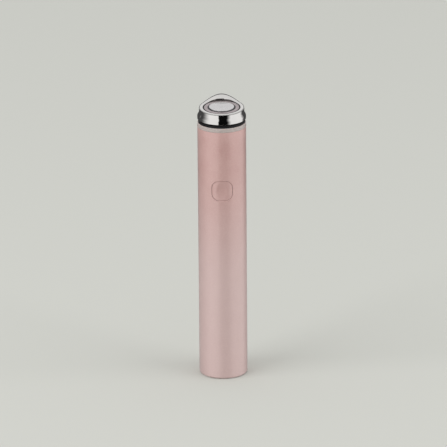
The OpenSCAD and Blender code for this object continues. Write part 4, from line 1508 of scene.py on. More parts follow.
@dataclass(frozen=True)
class FacePlane:
    """The treatment face: a plane tilted towards the front that curves up to the tip at the back."""

    head_h: float = 5.4
    neck_r: float = STACK.barrel_r - 0.8
    tilt: float = math.radians(3.4)
    tip_r: float = 8.0
    tip_start: float = 4.8
    flank_foot: float = 0.65
    flank_slope: float = 1.28
    well_r: float = STACK.barrel_r - 2.6

    @property
    def front(self) -> float:
        """Height of the rim at its front."""
        return STACK.gasket_top + self.head_h

    @property
    def centre(self) -> float:
        """Height of the face on the axis."""
        return self.front + self.neck_r * math.tan(self.tilt)

    @property
    def place(self) -> Matrix:
        """Turns a piece drawn level at height 0 into the tilted face."""
        return Matrix.Translation((0, 0, self.centre)) @ Matrix.Rotation(self.tilt, 4, "X")

    def sizes(self) -> dict[str, float]:
        """The rule's numbers in metres, for the tree that lifts the rim.

        Returns:
            A value for each input of the tree.
        """
        sine, cosine = math.sin(self.tilt), math.cos(self.tilt)
        start = self.tip_start * cosine
        lengths = {
            "Face_height": self.centre,
            "Front_height": self.front,
            "Arc_start": start,
            "Arc_middle": start - self.tip_r * sine,
            "Arc_height": self.centre + self.tip_start * sine + self.tip_r * cosine,
            "Arc_radius": self.tip_r,
            "Well_radius": self.well_r,
            "Flank_foot": self.flank_foot,
        }
        slopes = {"Slope": math.tan(self.tilt), "Flank_slope": self.flank_slope}
        return slopes | {name: length * MM for name, length in lengths.items()}


class RimRecipe(Recipe):
    """Lifts the rim of the head: a slanted plane that runs smoothly into an arc up to the tip.

    The inner side of the tip is coned, so the rim is the lower of the arc and the cone.
    """

    SOFT = 0.15 * MM  # how far the arc and the cone run into each other

    def __init__(self, sizes: Iterable[str]) -> None:
        """Builds the tree.

        Args:
            sizes: Names of its inputs.
        """
        super().__init__("slanted_rim", **dict.fromkeys(sizes, float))
        given = self.given
        x, y = self.here["X"], self.here["Y"]
        flat = self.add("MULTIPLY_ADD", y, given["Slope"], given["Face height"])
        ring = self.add("POWER", given["Arc radius"], 2.0)
        off = self.add("SUBTRACT", y, given["Arc middle"])
        inside = self.add("SUBTRACT", ring, self.add("MULTIPLY", off, off))
        drop = self.add("SQRT", self.add("MAXIMUM", inside, 0.0))
        curved = self.add("SUBTRACT", given["Arc height"], drop)
        behind = self.add("GREATER_THAN", y, given["Arc start"])
        rule = self.add(MIX, behind, flat, curved, data_type="FLOAT")
        across = self.add(VECTOR, self.add(JOIN_XYZ, x, y, 0.0), operation="LENGTH")
        out = self.add("MAXIMUM", self.add("SUBTRACT", across, given["Well radius"]), 0.0)
        flank = self.add("MULTIPLY_ADD", out, given["Flank slope"], given["Flank foot"])
        lowest = self.add("SMOOTH_MIN", rule, self.add("ADD", flat, flank), self.SOFT)
        rise = self.add("SUBTRACT", lowest, given["Front height"])
        share = self.add("GeometryNodeInputNamedAttribute", "lift", data_type="FLOAT")
        shift = self.add(JOIN_XYZ, Z=self.add("MULTIPLY", rise, share))
        self.end(self.add("GeometryNodeSetPosition", given["Geometry"], Offset=shift))


@dataclass(frozen=True)
class Head:
    """Light ring, gasket, polished shell and the electrodes in its face."""

    plane: FacePlane = FacePlane()
    foot_bevel: float = 0.8
    foot_round: float = 0.06
    bevel_round: float = 0.1
    bevel_rise: float = 0.04
    collar_h: float = 2.0
    shoulder_h: float = 1.9
    shoulder_slope: float = 30.0
    rim_edge: float = 0.12
    line_w: float = 0.25
    line_depth: float = 0.05
    cavity_r: float = STACK.barrel_r - 1.55
    cavity_h: float = 2.6
    seal_w: float = 0.55
    seal_sink: float = 0.1
    seal_edge: float = 0.1
    fit: float = 0.02
    ring_w: float = 1.7
    ring_edge: float = 0.14
    insulator_w: float = 0.6
    insulator_gap: float = 0.05
    insulator_sink: float = 0.05
    insulator_edge: float = 0.08
    thick: float = 1.5
    sink: float = 0.05
    rise: float = 0.35
    dome: float = 0.15
    disc_edge: float = 0.06
    stem_in: float = 0.9  # how far the stems reach into the electrodes
    stem_edge: float = 0.08
    centre_stem_r: float = 1.2
    ring_stem_r: float = 0.5
    ring_stems: Point = (30.0, 150.0, 270.0)  # where they stand, in degrees
    gasket_inset: float = 0.35
    gasket_round: float = 0.2
    spigot_h: float = 3.9
    spigot_lead: float = 0.25
    light_wall: float = 1.45
    light_edge: float = 0.14
    groove: float = 0.8
    groove_w: float = 1.4
    groove_edges: Point = (0.05, 0.1)  # at its mouth and on its floor
    steps: int = 256
    ring_steps: int = 192

    def _outside(self) -> list[Point]:
        """Radius and height from the shell's foot up to the start of the neck.

        Returns:
            The points.
        """
        outer, neck, foot = STACK.barrel_r, self.plane.neck_r, STACK.gasket_top
        bevel = foot + self.foot_bevel + self.bevel_rise
        collar = foot + self.collar_h
        turn = math.radians(self.shoulder_slope)
        sine, cosine = math.sin(turn), math.cos(turn)
        bend = (self.shoulder_h * sine - (outer - neck) * cosine) / (2 - 2 * cosine)
        return [
            *arc((outer - self.foot_bevel - self.foot_round, foot + self.foot_round), self.foot_round,
                 -90, -50, 3),
            *arc((outer - self.bevel_round, bevel), self.bevel_round, -45, 0, 4),
            *((outer, bevel + (collar - bevel) * i / 6) for i in range(1, 6)),
            *arc((outer - bend, collar), bend, 0, self.shoulder_slope, 8),
            *arc((neck + bend, collar + self.shoulder_h), bend, 180 + self.shoulder_slope, 180, 8),
        ]

    def _rim(self) -> list[Point]:
        """Radius and height over the rim: a shallow line, painted dark as a painted reflection, at each side
        of its rounded outer edge, then the flat.

        Returns:
            The points.
        """
        edge, front, well = self.rim_edge, self.plane.front, self.plane.well_r
        line, inner, end = self.plane.neck_r - edge, well + edge, front - edge
        width = line - self.line_w - edge / 2 - inner
        waist, low = self.plane.neck_r - self.line_depth / 2, front - self.line_depth
        return [
            (waist, end - self.line_w),
            (waist, end),
            *arc((line, end), edge, 0, 90, 5)[1:],
            (line - self.line_w / 3, low),
            (line - self.line_w, low),
            *((inner + width * (1 - i / 12), front) for i in range(12)),
            *arc((inner, end), edge, 90, 180, 6),
        ]

    def _shell(self) -> bpy.types.Mesh:
        """The shell, turned level and then lifted by the rim's rule.

        Returns:
            The mesh.
        """
        foot, roof = STACK.gasket_top, STACK.gasket_top + self.cavity_h
        outside, rim = self._outside(), self._rim()
        start, end = outside[-1][1], self.plane.front - self.rim_edge
        rising = [(self.plane.neck_r, start + (end - start) * i / 8, i / 8) for i in range(1, 7)]
        falling = [(self.plane.well_r, end + (roof - end) * i / 6, 1 - i / 6) for i in range(1, 7)]
        profile = [(self.cavity_r, foot, 0.0), *((*point, 0.0) for point in outside), *rising,
                   *((*point, 1.0) for point in rim), *falling, (self.cavity_r, roof, 0.0)]
        sketch = Sketch()
        # heights of the rings that get the painted dark reflection line
        dark = (self.plane.front - self.line_depth, end)
        for loop, (_, z, lift) in zip(sketch.turned([point[:2] for point in profile], self.steps), profile):
            sketch.mark("lift", loop, lift)
            sketch.mark("painted_reflection_line", loop, float(lift == 1.0 and z in dark))
        sizes = self.plane.sizes()
        return RimRecipe(sizes).mesh("head", Look.CHROME, sketch.mesh("head_level"), **sizes)

    def _seat(self, outer: float, inner: float, top: float, edge: float) -> Sketch:
        """Draws a ring that sits in the face, with its upper edges rounded.

        Args:
            outer: Its outer radius.
            inner: Its inner radius.
            top: Its height above the face, below 0 where it is sunk.
            edge: Radius of its upper edges.

        Returns:
            The ring, drawn level.
        """
        low = -self.sink - self.thick
        ring = Sketch()
        ring.turned(softened([(inner, low, 0), (outer, low, 0), (outer, top, edge), (inner, top, edge)], 4),
                    self.steps)
        return ring

    def _stem(self, sketch: Sketch, radius: float, x: float, y: float) -> None:
        """Adds a round contact stem from inside an electrode down to its spring pin, in the tilted frame.

        Args:
            sketch: The electrode.
            radius: Radius of the stem.
            x: Where it stands across.
            y: Where it stands from front to back.
        """
        low, top = Box.of("centre_electrode").low.z, self.plane.centre - self.sink - self.stem_in
        stem = Sketch()
        stem.turned([(0.0, low), (radius - self.stem_edge, low), (radius, low + self.stem_edge),
                     (radius, top), (0.0, top)], 32, (x, y))
        sketch.join(stem, self.plane.place.inverted())

    def _disc(self, radius: float) -> Sketch:
        """Draws the centre electrode, a slightly domed disc.

        Args:
            radius: Its radius.

        Returns:
            The disc, drawn level.
        """
        crown, low, edge = self.rise - self.sink, -self.sink - self.thick, self.disc_edge
        dome_r = (radius ** 2 + self.dome ** 2) / (2 * self.dome)
        reach = math.degrees(math.asin((radius - edge) / dome_r))
        disc = Sketch()
        disc.turned([
            (0.0, low), (radius, low), *arc((radius - edge, crown - edge), edge, 0, 84, 8),
            *arc((0.0, crown + self.dome - dome_r), dome_r, 90 - reach, 90, 16)[:-1],
            (0.0, crown + self.dome),
        ], self.steps)
        self._stem(disc, self.centre_stem_r, 0.0, 0.0)
        return disc

    def _electrodes(self) -> None:
        """Ring electrode, insulator, centre electrode and outer seal, all in the tilted face."""
        ring_out = self.plane.well_r - self.seal_w - 2 * self.fit
        ring_in = ring_out - self.ring_w
        bush_out = ring_in - self.insulator_gap
        bush_in = bush_out - self.insulator_w
        top = -self.sink
        ring = self._seat(ring_out, ring_in, top, self.ring_edge)
        pitch = (ring_out + ring_in) / 2
        for angle in map(math.radians, self.ring_stems):
            self._stem(ring, self.ring_stem_r, pitch * math.cos(angle), pitch * math.sin(angle))
        bush = self._seat(bush_out, bush_in, top - self.insulator_sink, self.insulator_edge)
        seal = self._seat(self.plane.well_r - self.fit, ring_out + self.fit, top - self.seal_sink,
                          self.seal_edge)
        for name, node, sketch, look in (
                ("outer_electrode", "ring_electrode", ring, Look.ELECTRODE),
                ("inner_electrode", "centre_electrode", self._disc(bush_in - self.insulator_gap),
                 Look.CENTRE_ELECTRODE),
                ("insulating_ring", "insulator_ring", bush, Look.NYLON),
                ("rim_seal", "face_seal", seal, Look.RUBBER)):
            fit(name, node, sketch.moved(self.plane.place).mesh(name), look)

    def _light_ring(self) -> list[Point]:
        """Outline of the opal ring with the grooved spigot that plugs into the barrel.

        Returns:
            Radius, height and rounding of each corner.
        """
        low, top, outer, plug = STACK.barrel_top, STACK.light_top, STACK.barrel_r, STACK.plug_r
        foot, deep, bore = low - self.spigot_h, plug - self.groove, plug - self.light_wall
        begin, end = (low - self.spigot_h / 2 + side * self.groove_w / 2 for side in (-1, 1))
        mouth, floor = self.groove_edges
        return [
            (bore, foot, 0), (plug, foot, self.spigot_lead), (plug, begin, mouth), (deep, begin, floor),
            (deep, end, floor), (plug, end, mouth), (plug, low, floor), (outer, low, self.light_edge),
            (outer, top, self.light_edge), (bore, top, 0),
        ]

    def _gasket(self) -> list[Point]:
        """Outline of the flat gasket squeezed under the shell, with a slightly bulged rim.

        Returns:
            Radius, height and rounding of each corner.
        """
        low, top, outer = STACK.light_top, STACK.gasket_top, STACK.barrel_r - self.gasket_inset
        return [(self.cavity_r, low, 0), (outer, low, self.gasket_round), (outer, top, self.gasket_round),
                (self.cavity_r, top, 0)]

    def build(self) -> None:
        """Makes the head."""
        for name, node, outline, look in (("glow_ring", "light_ring", self._light_ring(), Look.OPAL),
                                          ("gasket", "head_gasket", self._gasket(), Look.RUBBER)):
            sketch = Sketch()
            sketch.turned(softened(outline), self.ring_steps)
            fit(name, node, sketch.mesh(name), look)
        fit("polished_head", "head_shell", self._shell(), Look.CHROME)
        self._electrodes()


# ---- base end


@dataclass(frozen=True)
class EndCap:
    """End cap with the slot of the charging port, a seal groove and two snap arms."""

    recess: float = 0.2
    plate: float = 2.0
    edge: float = 0.25
    spigot_wall: float = 1.6
    spigot_top: float = 6.6
    spigot_edges: Point = (0.2, 0.3)  # inner and outer
    seal_z: float = 4.1
    groove_w: float = 1.4
    groove: float = 0.8
    slot: RoundRect = RoundRect(9.24, 3.56, 1.7)
    lead_w: float = 0.4
    lead_depth: float = 0.35
    lead_edge: float = 0.1
    arm_in: float = 7.65
    arm_out: float = 8.75
    arm_foot: float = 0.1  # how far the arms reach into the plate
    arm_top: float = 11.2
    hook_out: float = 0.6
    hook_h: float = 1.1
    hook_flat: float = 0.3
    arm_angle: float = 12.0
    arm_steps: int = 12
    steps: int = 160

    def _body(self, sketch: Sketch) -> None:
        """Adds the plate with its slot and the grooved spigot, as one closed skin.

        Args:
            sketch: Gets the skin.
        """
        outer, inner = STACK.plug_r, STACK.plug_r - self.spigot_wall
        low, top, rim = self.recess, self.recess + self.plate, self.spigot_top
        soft_in, soft_out = self.spigot_edges
        deep = outer - self.groove
        begin, end = (self.seal_z + side * self.groove_w / 2 for side in (-1, 1))
        loops = []
        for margin, z in ((0.0, top), (0.0, low + self.lead_depth), (self.lead_w, low + self.lead_edge),
                          (self.lead_w + self.lead_edge, low)):
            outline = self.slot.grown(margin)
            loops.append(sketch.loop((*outline.toward(*way), z) for way in circle(self.steps)))
        loops += sketch.rings([
            (outer - self.edge, low), (outer, low + self.edge), (outer, begin), (deep, begin), (deep, end),
            (outer, end), (outer, rim - soft_out), (outer - soft_out, rim), (inner + soft_in, rim),
            (inner, rim - soft_in), (inner, top),
        ], self.steps)
        sketch.loft(loops, closed=True)

    def _arm(self, sketch: Sketch, side: int) -> None:
        """Adds a snap arm with its hook.

        Args:
            sketch: Gets the arm.
            side: 1 for the right side and -1 for the left.
        """
        hook, foot = self.arm_top - self.hook_h, self.recess + self.plate - self.arm_foot
        reach = self.arm_out + self.hook_out
        profile = [(self.arm_in, foot), (self.arm_out, foot), (self.arm_out, hook), (reach, hook),
                   (reach, hook + self.hook_flat), (self.arm_out, self.arm_top), (self.arm_in, self.arm_top)]
        span, count = math.radians(self.arm_angle), self.arm_steps
        turns = [span * (2 * i / count - 1) for i in range(count + 1)]
        sketch.swept([(side * r * math.cos(turn), r * math.sin(turn), z) for r, z in profile]
                     for turn in turns)

    def build(self) -> None:
        """Makes the cap and the two seal rings that fill the grooves of cap and light ring."""
        sketch = Sketch()
        self._body(sketch)
        for side in (-1, 1):
            self._arm(sketch, side)
        fit("end_cap", "base_cap", sketch.mesh("end_cap"), Look.CAP_PINK)
        for name, node in (("end_cap_seal", "base_seal"), ("head_seal_ring", "head_seal")):
            box = Box.of(node)
            thick = box.size.z / 2
            seal = Sketch()
            seal.turned(arc((box.high.x - thick, box.middle.z), thick, 0, 345, 23), self.steps)
            fit(name, node, seal.mesh(name), Look.RUBBER)


@dataclass(frozen=True)
class ChargePort:
    """Charging socket: folded shell, tongue and two rows of contacts."""

    mouth: RoundRect = RoundRect(8.94, 3.26, 1.55)
    wall: float = 0.3
    body_h: float = 1.6
    body_gap: float = 0.02
    body_edge: float = 0.05
    tongue: RoundRect = RoundRect(6.69, 0.7, 0.15)
    tongue_len: float = 4.45
    nose_edge: float = 0.12
    contacts: int = 12
    pitch: float = 0.5
    contact: Point = (0.25, 0.05, 3.45)
    contact_edge: float = 0.02
    points: int = 96
    tongue_points: int = 48

    def _shell(self) -> bpy.types.Mesh:
        """Folded steel shell with a rolled mouth.

        Returns:
            The mesh.
        """
        box, roll = Box.of("port_shell"), self.wall / 3
        low, high = box.low.z, box.high.z
        steps = [(0.0, high), (0.0, low + roll), (-roll, low), (roll - self.wall, low),
                 (-self.wall, low + roll), (-self.wall, high)]
        sketch = Sketch()
        sketch.loft([
            sketch.loop((x, y, z) for x, y in self.mouth.grown(margin).points(self.points))
            for margin, z in steps
        ], closed=True)
        return sketch.mesh("port_shell")

    def _tongue(self) -> bpy.types.Mesh:
        """Tongue with a rounded nose, and the block that holds it.

        Returns:
            The mesh.
        """
        high = Box.of("port_tongue").high.z
        start, edge = high - self.body_h, self.body_edge
        nose = start - self.tongue_len
        sketch = Sketch()
        sketch.pillar(self.tongue.points(self.tongue_points),
                      [(nose, self.nose_edge), (nose + self.nose_edge, 0.0), (start + edge, 0.0)])
        sketch.pillar(self.mouth.grown(-self.wall - self.body_gap).points(self.points),
                      [(start, edge), (start + edge, 0.0), (high, 0.0)])
        return sketch.mesh("port_tongue")

    def _contacts(self) -> bpy.types.Mesh:
        """Both rows of contacts.

        Returns:
            The mesh.
        """
        half = Vector(self.contact) / 2
        one = Sketch()
        one.block(-half, half, self.contact_edge)
        made = GridRecipe().mesh(
            "port_contacts", Look.GOLD, piece=one.mesh("contact"), Columns=self.contacts, Rows=2,
            Width=(self.contacts - 1) * self.pitch * MM, Height=(self.tongue.height + 2 * half.y) * MM)
        made.transform(Matrix.Translation((0, 0, Box.of("port_contacts").middle.z * MM)))
        return made

    def build(self) -> None:
        """Makes the charging port."""
        fit("socket_shell", "port_shell", self._shell(), Look.PORT_STEEL)
        fit("socket_tongue", "port_tongue", self._tongue(), Look.NYLON)
        fit("socket_contacts", "port_contacts", self._contacts(), Look.GOLD)


# ---- inside


@dataclass(frozen=True)
class Battery:
    """Round cell in a shrunk sleeve, with bare steel ends."""

    nub_h: float = 0.5
    nub_r: float = 2.08
    nub_edge: float = 0.1
    edge: float = 0.3
    rim_w: float = 1.0  # width of the flat rim at the top
    moat_w: float = 0.1  # width of the slope into the moat round the nub
    moat_r: Point = (0.6, 0.2)  # how far from the nub the moat's floor and its inner slope end
    moat: float = 0.15
    crimp_h: float = 0.6
    crimp_depth: float = 0.25
    crimp_drop: float = 1.0
    crimp_out: float = 0.1  # how far the crimp's slopes begin outside it
    crimp_in: float = 0.15  # and how far they end inside it
    sleeve_t: float = 0.08
    sleeve_over: float = 0.9  # how far the sleeve reaches over the ends
    sleeve_edge: float = 0.25
    sleeve_top: Point = (0.02, -0.05)  # outside and inside of the sleeve above the can's top
    sleeve_foot: float = 0.1

    def build(self) -> None:
        """Makes the cell's can and its sleeve."""
        box = Box.of("battery_cell")
        low, high, top = box.low.z, box.high.z, box.high.z - self.nub_h
        can, nub = box.size.x / 2 - self.sleeve_t, self.nub_r
        waist, crimp_top = can - self.crimp_depth, top - self.crimp_drop
        crimp = crimp_top - self.crimp_h
        wall = [(can, low + self.edge), (can, crimp - self.crimp_out), (waist, crimp + self.crimp_in),
                (waist, crimp_top - self.crimp_in), (can, crimp_top + self.crimp_out), (can, top - self.edge)]
        moat_out, moat_in = self.moat_r
        steel = [
            (0.0, low), (can - self.edge, low), *wall, (can - self.edge, top), (can - self.rim_w, top),
            (can - self.rim_w - self.moat_w, top - self.moat), (nub + moat_out, top - self.moat),
            (nub + moat_in, top), (nub, high - self.nub_edge), (nub - self.nub_edge, high), (0.0, high),
        ]
        inner, over = can - self.sleeve_over, can - self.sleeve_edge
        above, under = (top + height for height in self.sleeve_top)
        sleeve = [(inner, low), (over, low), *((r + self.sleeve_t, z) for r, z in wall), (over, above),
                  (inner, above), (inner, under), *reversed(wall), (inner, low + self.sleeve_foot)]
        for name, profile, look in (("cell_can", steel, Look.CAN_STEEL),
                                    ("cell_sleeve", sleeve, Look.SLEEVE)):
            sketch = Sketch()
            sketch.turned(profile, centre=box.middle.xy)
            fit(name, "battery_cell", sketch.mesh(name), look)


@dataclass(frozen=True)
class BoardParts:
    """Chips with their legs, and small two-ended parts, on the front of the main board."""

    leg_out: float = 0.5
    leg_w: float = 0.28
    leg_t: float = 0.1
    leg_pitch: float = 0.65
    leg_in: float = 0.1  # how far a leg reaches into its package
    leg_run: float = 0.15  # how far it runs straight out of it
    leg_margin: float = 0.6  # length of a package's side without legs
    corner: float = 0.12
    off_board: float = 0.05
    foot_inset: float = 0.08
    top_edge: Point = (0.08, 0.06, 0.14)  # height of the upper edge, and the inset at its foot and top
    mark_r: Point = (0.22, 0.25)  # the dimple at the first leg, at its top and foot
    mark_h: Point = (0.002, 0.03)
    mark_in: float = 0.55
    cap_share: float = 0.22
    cap_edge: float = 0.08
    body_share: float = 0.93  # the ceramic is a little thinner than its ends
    body_edge: float = 0.05
    body_in: float = 0.02

    def _leg(self, height: float) -> bpy.types.Mesh:
        """Draws a bent leg that leaves a package at half its height and stands on the board.

        Args:
            height: Height of the package.

        Returns:
            The mesh.
        """
        half, thick, run, out = height / 2, self.leg_t, self.leg_run, self.leg_out
        side = [(-self.leg_in, half), (run, half), (run + thick, thick), (out, thick), (out, 0.0), (run, 0.0),
                (run - thick / 2, half - thick), (-self.leg_in, half - thick)]
        sketch = Sketch()
        sketch.swept([(x, y, z) for x, z in side] for y in (-self.leg_w / 2, self.leg_w / 2))
        return sketch.mesh("leg")

    def _package(self, width: float, depth: float, height: float) -> Sketch:
        """Draws a package lying level, with a dimple at its first leg.

        Args:
            width: Its width without the legs.
            depth: Its height above the board.
            height: Its length.

        Returns:
            The package.
        """
        edge, foot, top = self.top_edge
        proud, sunk = self.mark_h
        body = Sketch()
        body.pillar(RoundRect(width, height, self.corner).points(40),
                    [(self.off_board, self.foot_inset), (depth / 2, 0.0), (depth - edge, foot), (depth, top)])
        body.turned([(0.0, depth + proud), (self.mark_r[0], depth + proud), (self.mark_r[1], depth - sunk),
                     (0.0, depth - sunk)], 16, (self.mark_in - width / 2, height / 2 - self.mark_in))
        return body

    def _chips(self) -> None:
        """Packages and legs. Each is drawn lying level, then stood up against the board."""
        packages = Sketch()
        for number, box in enumerate(Box.solids("board_chips"), 1):
            width, (depth, height) = box.size.x - 2 * self.leg_out, box.size.yz
            foot = Vector((box.middle.x, box.high.y, box.middle.z))
            packages.join(self._package(width, depth, height), Matrix.Translation(foot) @ STANDING)
            rows = int((height - self.leg_margin) / self.leg_pitch) + 1
            name = f"chip_legs_{number}"
            legs = GridRecipe().mesh(name, Look.TIN, piece=self._leg(depth), Columns=2, Rows=rows,
                                     Width=width * MM, Height=(rows - 1) * self.leg_pitch * MM)
            legs.transform(Matrix.Translation(foot * MM) @ STANDING)
            fit(name, "board_chips", legs, Look.TIN)
        fit("chip_packages", "board_chips", packages.mesh("chip_packages"), Look.CHIP)

    def _passives(self) -> None:
        """Ceramic bodies and tinned ends of the small parts."""
        boxes = Box.solids("board_passives")
        half = boxes[0].size / 2
        thin, end = half * self.body_share, half.z * (1 - 2 * self.cap_share)
        body, caps = Sketch(), Sketch()
        body.block((-thin.x, -thin.y, -end - self.body_in), (thin.x, half.y, end + self.body_in),
                   self.body_edge)
        for low, high in ((-half.z, -end), (end, half.z)):
            caps.block((-half.x, -half.y, low), (half.x, half.y, high), self.cap_edge)
        spots = bare([box.middle for box in boxes])
        for name, sketch, look in (("part_bodies", body, Look.CERAMIC), ("part_ends", caps, Look.TIN)):
            fit(name, "board_passives", SpotsRecipe().mesh(name, look, spots, sketch.mesh(name)), look)

    def build(self) -> None:
        """Makes the parts and dresses the boards."""
        for board in ("main_board", "charge_board", "lamp_board"):
            dress(board, Look.BOARD)
        self._chips()
        self._passives()


@dataclass(frozen=True)
class Screws:
    """Pan-head screws of one node, with a cross recess and a rolled thread. Each is drawn head down."""

    node: str
    length: float
    upright: bool  # pointing up; otherwise they point back
    head_r: float = 1.35
    head_h: float = 0.9
    head_steps: tuple[Point, ...] = ((0.35, 0.0), (0.12, 0.12), (0.0, 0.4))  # inset and height
    head_edge: float = 0.05
    shank_r: float = 0.75
    shank_start: float = 0.1
    bare_end: float = 0.6  # length of the end without thread
    tip_h: float = 0.1
    tip_share: float = 0.6  # width of the tip as a share of the shank's
    thread: float = 0.14
    pitch: float = 0.6
    cross_reach: float = 0.85
    cross_half: float = 0.2
    cross_depth: float = 0.5
    cross_foot: Point = (0.5, 0.05)  # its width near the floor as a share, and the floor's slope
    steps: int = 40
    rows: int = 7  # rows of faces in one turn of the thread

    TINY = 1e-6

    def _cross(self, x: float, y: float) -> float:
        """Radius of the cross recess in a direction."""
        along, across = ([max(abs(side), self.TINY) for side in pair] for pair in ((x, y), (y, x)))
        return max(min(self.cross_reach / a, self.cross_half / b) for a, b in (along, across))

    def _screw(self) -> bpy.types.Mesh:
        """Draws the screw: recess, head and shank, then raises the thread.

        Returns:
            The mesh.
        """
        sketch = Sketch()
        loops = [sketch.loop([(0.0, 0.0, self.cross_depth - self.head_h)])]
        narrow, slope = self.cross_foot
        for share, z in ((narrow, self.cross_depth - slope), (1.0, 0.0)):
            ways = [(Vector(way) * share * self._cross(*way)) for way in circle(self.steps)]
            loops.append(sketch.loop((*way, z - self.head_h) for way in ways))
        root, edge = self.shank_r - self.thread, self.head_edge
        head = [(self.head_r - inset, height - self.head_h) for inset, height in self.head_steps]
        head += [(self.head_r, -edge), (self.head_r - edge, 0.0), (root, 0.0)]
        threaded = self.length - self.bare_end
        count, reach = round(threaded / self.pitch * self.rows), threaded - self.shank_start
        shank = [(root, self.shank_start + reach * i / count) for i in range(count + 1)]
        point = [(root * self.tip_share, self.length - self.tip_h), (0.0, self.length)]
        loops += sketch.rings(head + shank + point, self.steps)
        for loop in loops[len(head) + 3:-3]:
            sketch.mark("thread", loop, 1.0)
        sketch.loft(loops)
        return ThreadRecipe().mesh("screw", Look.SCREW, sketch.mesh("screw_blank"),
                                   Pitch=self.pitch * MM, Depth=self.thread * MM)

    def build(self) -> None:
        """Puts a screw in every place of the node."""
        screw = self._screw()
        spots = [box.middle.xy.to_3d() + Vector((0, 0, box.low.z + self.head_h)) if self.upright else
                 Vector((box.middle.x, box.low.y + self.head_h, box.middle.z))
                 for box in Box.solids(self.node)]
        if not self.upright:
            screw.transform(LYING)
        made = SpotsRecipe().mesh(self.node, Look.SCREW, bare(spots), screw)
        fit(self.node + "_set", self.node, made, Look.SCREW)


@dataclass(frozen=True)
class Transformer:
    """Wound coil on its former; the core keeps its shape."""

    wire_r: float = 0.2
    play: float = 0.02
    former_in: float = 0.3  # how far the former lies inside the coil
    former_edge: float = 0.3

    def build(self) -> None:
        """Makes the winding and its former."""
        dress("transformer_core", Look.FERRITE)
        box = Box.of("transformer_coil")
        half = box.size / 2 - Vector([self.wire_r] * 3)
        pitch = 2 * (self.wire_r + self.play)
        turns = int(2 * half.z / pitch)
        wound = WindingRecipe().mesh(
            "winding", Look.COPPER_WIRE, Turns=turns, Pitch=pitch * MM, Half_width=half.x * MM,
            Half_depth=half.y * MM, Radius=self.wire_r * MM)
        foot = box.middle - Vector((0, 0, turns * pitch / 2))
        wound.transform(Matrix.Translation(foot * MM))
        fit("winding", "transformer_coil", wound, Look.COPPER_WIRE)
        inset = Vector((self.former_in, self.former_in, 0.0))
        former = Sketch()
        former.block(box.low + inset, box.high - inset, self.former_edge)
        fit("winding_former", "transformer_coil", former.mesh("winding_former"), Look.NYLON)


@dataclass(frozen=True)
class Motor:
    """Vibration motor: its two leads; the can, boot, shaft and weight keep their shape."""

    lead_r: float = 0.35
    bend: float = 0.9
    solder: tuple[Point, ...] = ((0.0, 0.0), (0.6, 0.0), (0.51, 0.18), (0.3, 0.42), (0.0, 0.5))

    def _lead(self, name: str, box: Box, look: Look) -> None:
        """Makes one lead along its path, from the motor's foot to the board, and its solder.

        Args:
            name: Name of the lead.
            box: Box of its solid.
            look: Its finish.
        """
        x, y, z = box.middle.x, box.high.y - self.lead_r, box.low.z + self.lead_r
        path = bare([(x, y, box.high.z), (x, y, z), (x, box.low.y, z)], [(0, 1), (1, 2)])
        made = TubeRecipe().mesh(name, look, path, Bend=self.bend * MM, Radius=self.lead_r * MM)
        fit(name, "motor_leads", made, look)
        blob = Sketch()
        blob.turned(self.solder, 24)
        blob.moved(Matrix.Translation((x, box.low.y, z)) @ LYING)
        fit(name + "_solder", "motor_leads", blob.mesh("solder"), Look.TIN)

    def build(self) -> None:
        """Makes the leads and dresses the rest."""
        leads = (("lead_black", Look.WIRE_BLACK), ("lead_red", Look.WIRE_RED))
        for box, (name, look) in zip(Box.solids("motor_leads"), leads):
            self._lead(name, box, look)
        dress("motor_can", Look.MOTOR_STEEL)
        dress("motor_boot", Look.RUBBER)
        dress("motor_shaft", Look.SHAFT)
        dress("motor_weight", Look.TUNGSTEN)


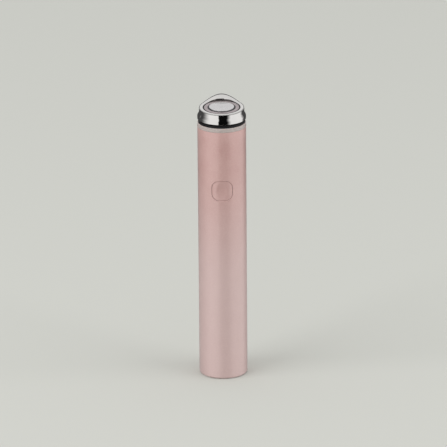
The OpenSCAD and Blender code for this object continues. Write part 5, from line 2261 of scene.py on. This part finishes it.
@dataclass(frozen=True)
class LampBoard:
    """Lamps under the light ring, spring pins to the electrodes, and the flat cable."""

    count: int = 12
    lamp: Point = (0.8, 1.6)
    lamp_edge: float = 0.06
    window: RoundRect = RoundRect(0.5, 1.1, 0.2)
    window_rise: Point = (0.1, 0.02, 0.06)  # how far below the top it begins, bends and the body ends
    socket_h: float = 2.4
    socket_edge: float = 0.12
    film_in: float = 0.2
    film_t: float = 0.2
    film_skin: float = 0.01  # film over the copper on either side
    film_foot: float = 0.4
    film_edge: float = 0.04
    traces: int = 6
    trace: Point = (0.36, 0.03)
    trace_margin: float = 1.0
    trace_short: float = 0.3
    pin_r: float = 0.75
    pin_h: float = 1.8
    pin_edge: float = 0.1
    pin_foot: float = 0.3  # heights of the foot and the collar, with the waist between them
    pin_collar: float = 0.2
    pin_waist: float = 0.08
    tip_r: float = 0.45
    tip_round: float = 0.2

    def _lamps(self) -> None:
        """White packages with a yellow window each."""
        box = Box.solids("lamps")[0]
        (wide, deep), tall = Vector(self.lamp) / 2, box.size.z
        begin, bend, over = self.window_rise
        body, glow = Sketch(), Sketch()
        body.block((-wide, -deep, 0.0), (wide, deep, tall - over), self.lamp_edge)
        glow.pillar(self.window.points(24), [(tall - begin, 0.0), (tall - bend, 0.0), (tall, over)])
        radius = (Box.of("lamps").high.x - wide) * MM
        for name, sketch, look in (("lamp_bodies", body, Look.LAMP_BODY),
                                   ("lamp_windows", glow, Look.PHOSPHOR)):
            made = RingRecipe().mesh(name, look, piece=sketch.mesh(name), Count=self.count, Radius=radius,
                                     Height=box.low.z * MM)
            fit(name, "lamps", made, look)

    def _pins(self) -> None:
        """Spring pins: a turned barrel and its plunger."""
        boxes = Box.solids("contact_pins")
        tall, body, top, edge = boxes[0].size.z, self.pin_r, self.pin_h, self.pin_edge
        waist, foot, collar = body - self.pin_waist, self.pin_foot, top - self.pin_collar
        tip, soft = self.tip_r, self.tip_round
        pin = Sketch()
        pin.turned([
            (0.0, 0.0), (body, 0.0), (body, foot), (waist, foot + edge), (waist, collar - edge / 2),
            (body, collar), (body - edge, top), (tip, top),
            *arc((tip - soft, tall - soft), soft, 0, 90, 4), (0.0, tall),
        ], 32)
        spots = bare([(box.middle.x, box.middle.y, box.low.z) for box in boxes])
        made = SpotsRecipe().mesh("spring_pins", Look.GOLD, spots, pin.mesh("pin"))
        fit("spring_pins", "contact_pins", made, Look.GOLD)

    def _cable(self) -> None:
        """Flat cable: socket, film and the copper that shows through it."""
        box = Box.of("flex_cable")
        low, high, inset = box.low, box.high, self.film_in
        rise = low.z + self.socket_h
        socket, film, trace = Sketch(), Sketch(), Sketch()
        socket.block(low, (high.x, high.y, rise), self.socket_edge)
        film.block((low.x + inset, high.y - self.film_t, rise - self.film_foot),
                   (high.x - inset, high.y - self.film_skin, high.z), self.film_edge)
        half = Vector((*self.trace, high.z - rise - self.trace_short)) / 2
        trace.block(-half, half, self.film_skin)
        copper = GridRecipe().mesh(
            "cable_traces", Look.COPPER_WIRE, piece=trace.mesh("trace"), Columns=self.traces, Rows=2,
            Width=(box.size.x - 2 * inset - self.trace_margin) * MM,
            Height=(self.film_t - 2 * self.film_skin) * MM)
        middle = Vector((0.0, high.y - self.film_t / 2, (rise + high.z) / 2))
        copper.transform(Matrix.Translation(middle * MM))
        for name, mesh, look in (("cable_socket", socket.mesh("socket"), Look.STEM),
                                 ("cable_film", film.mesh("film"), Look.FILM),
                                 ("cable_traces", copper, Look.COPPER_WIRE)):
            fit(name, "flex_cable", mesh, look)

    def build(self) -> None:
        """Makes the lamps, the pins and the cable."""
        self._lamps()
        self._pins()
        self._cable()


@dataclass(frozen=True)
class Carriers:
    """The frame and the other pieces inside that keep their shape."""

    looks: tuple[tuple[str, Look], ...] = (
        ("frame", Look.FRAME_RESIN), ("electrode_carrier", Look.NYLON), ("board_header", Look.NYLON),
        ("battery_tabs", Look.NICKEL), ("battery_pad", Look.FOAM), ("switch_body", Look.NYLON),
        ("switch_stem", Look.STEM),
    )

    def build(self) -> None:
        """Dresses them."""
        for node, look in self.looks:
            dress(node, look)


def main() -> None:
    """Builds the camera, the studio and the sub-assemblies in order."""
    logging.basicConfig(level=logging.INFO, format="%(name)s %(message)s")
    screws = (Screws("board_screws", length=4.5, upright=False),
              Screws("head_screws", length=7.8, upright=True))
    for part in (Shot(), Studio(), Barrel(), Button(), Head(), EndCap(), ChargePort(), Carriers(), Battery(),
                 BoardParts(), Transformer(), Motor(), LampBoard(), *screws):
        log.info("building %s", type(part).__name__)
        part.build()


if __name__ == "__main__":
    main()
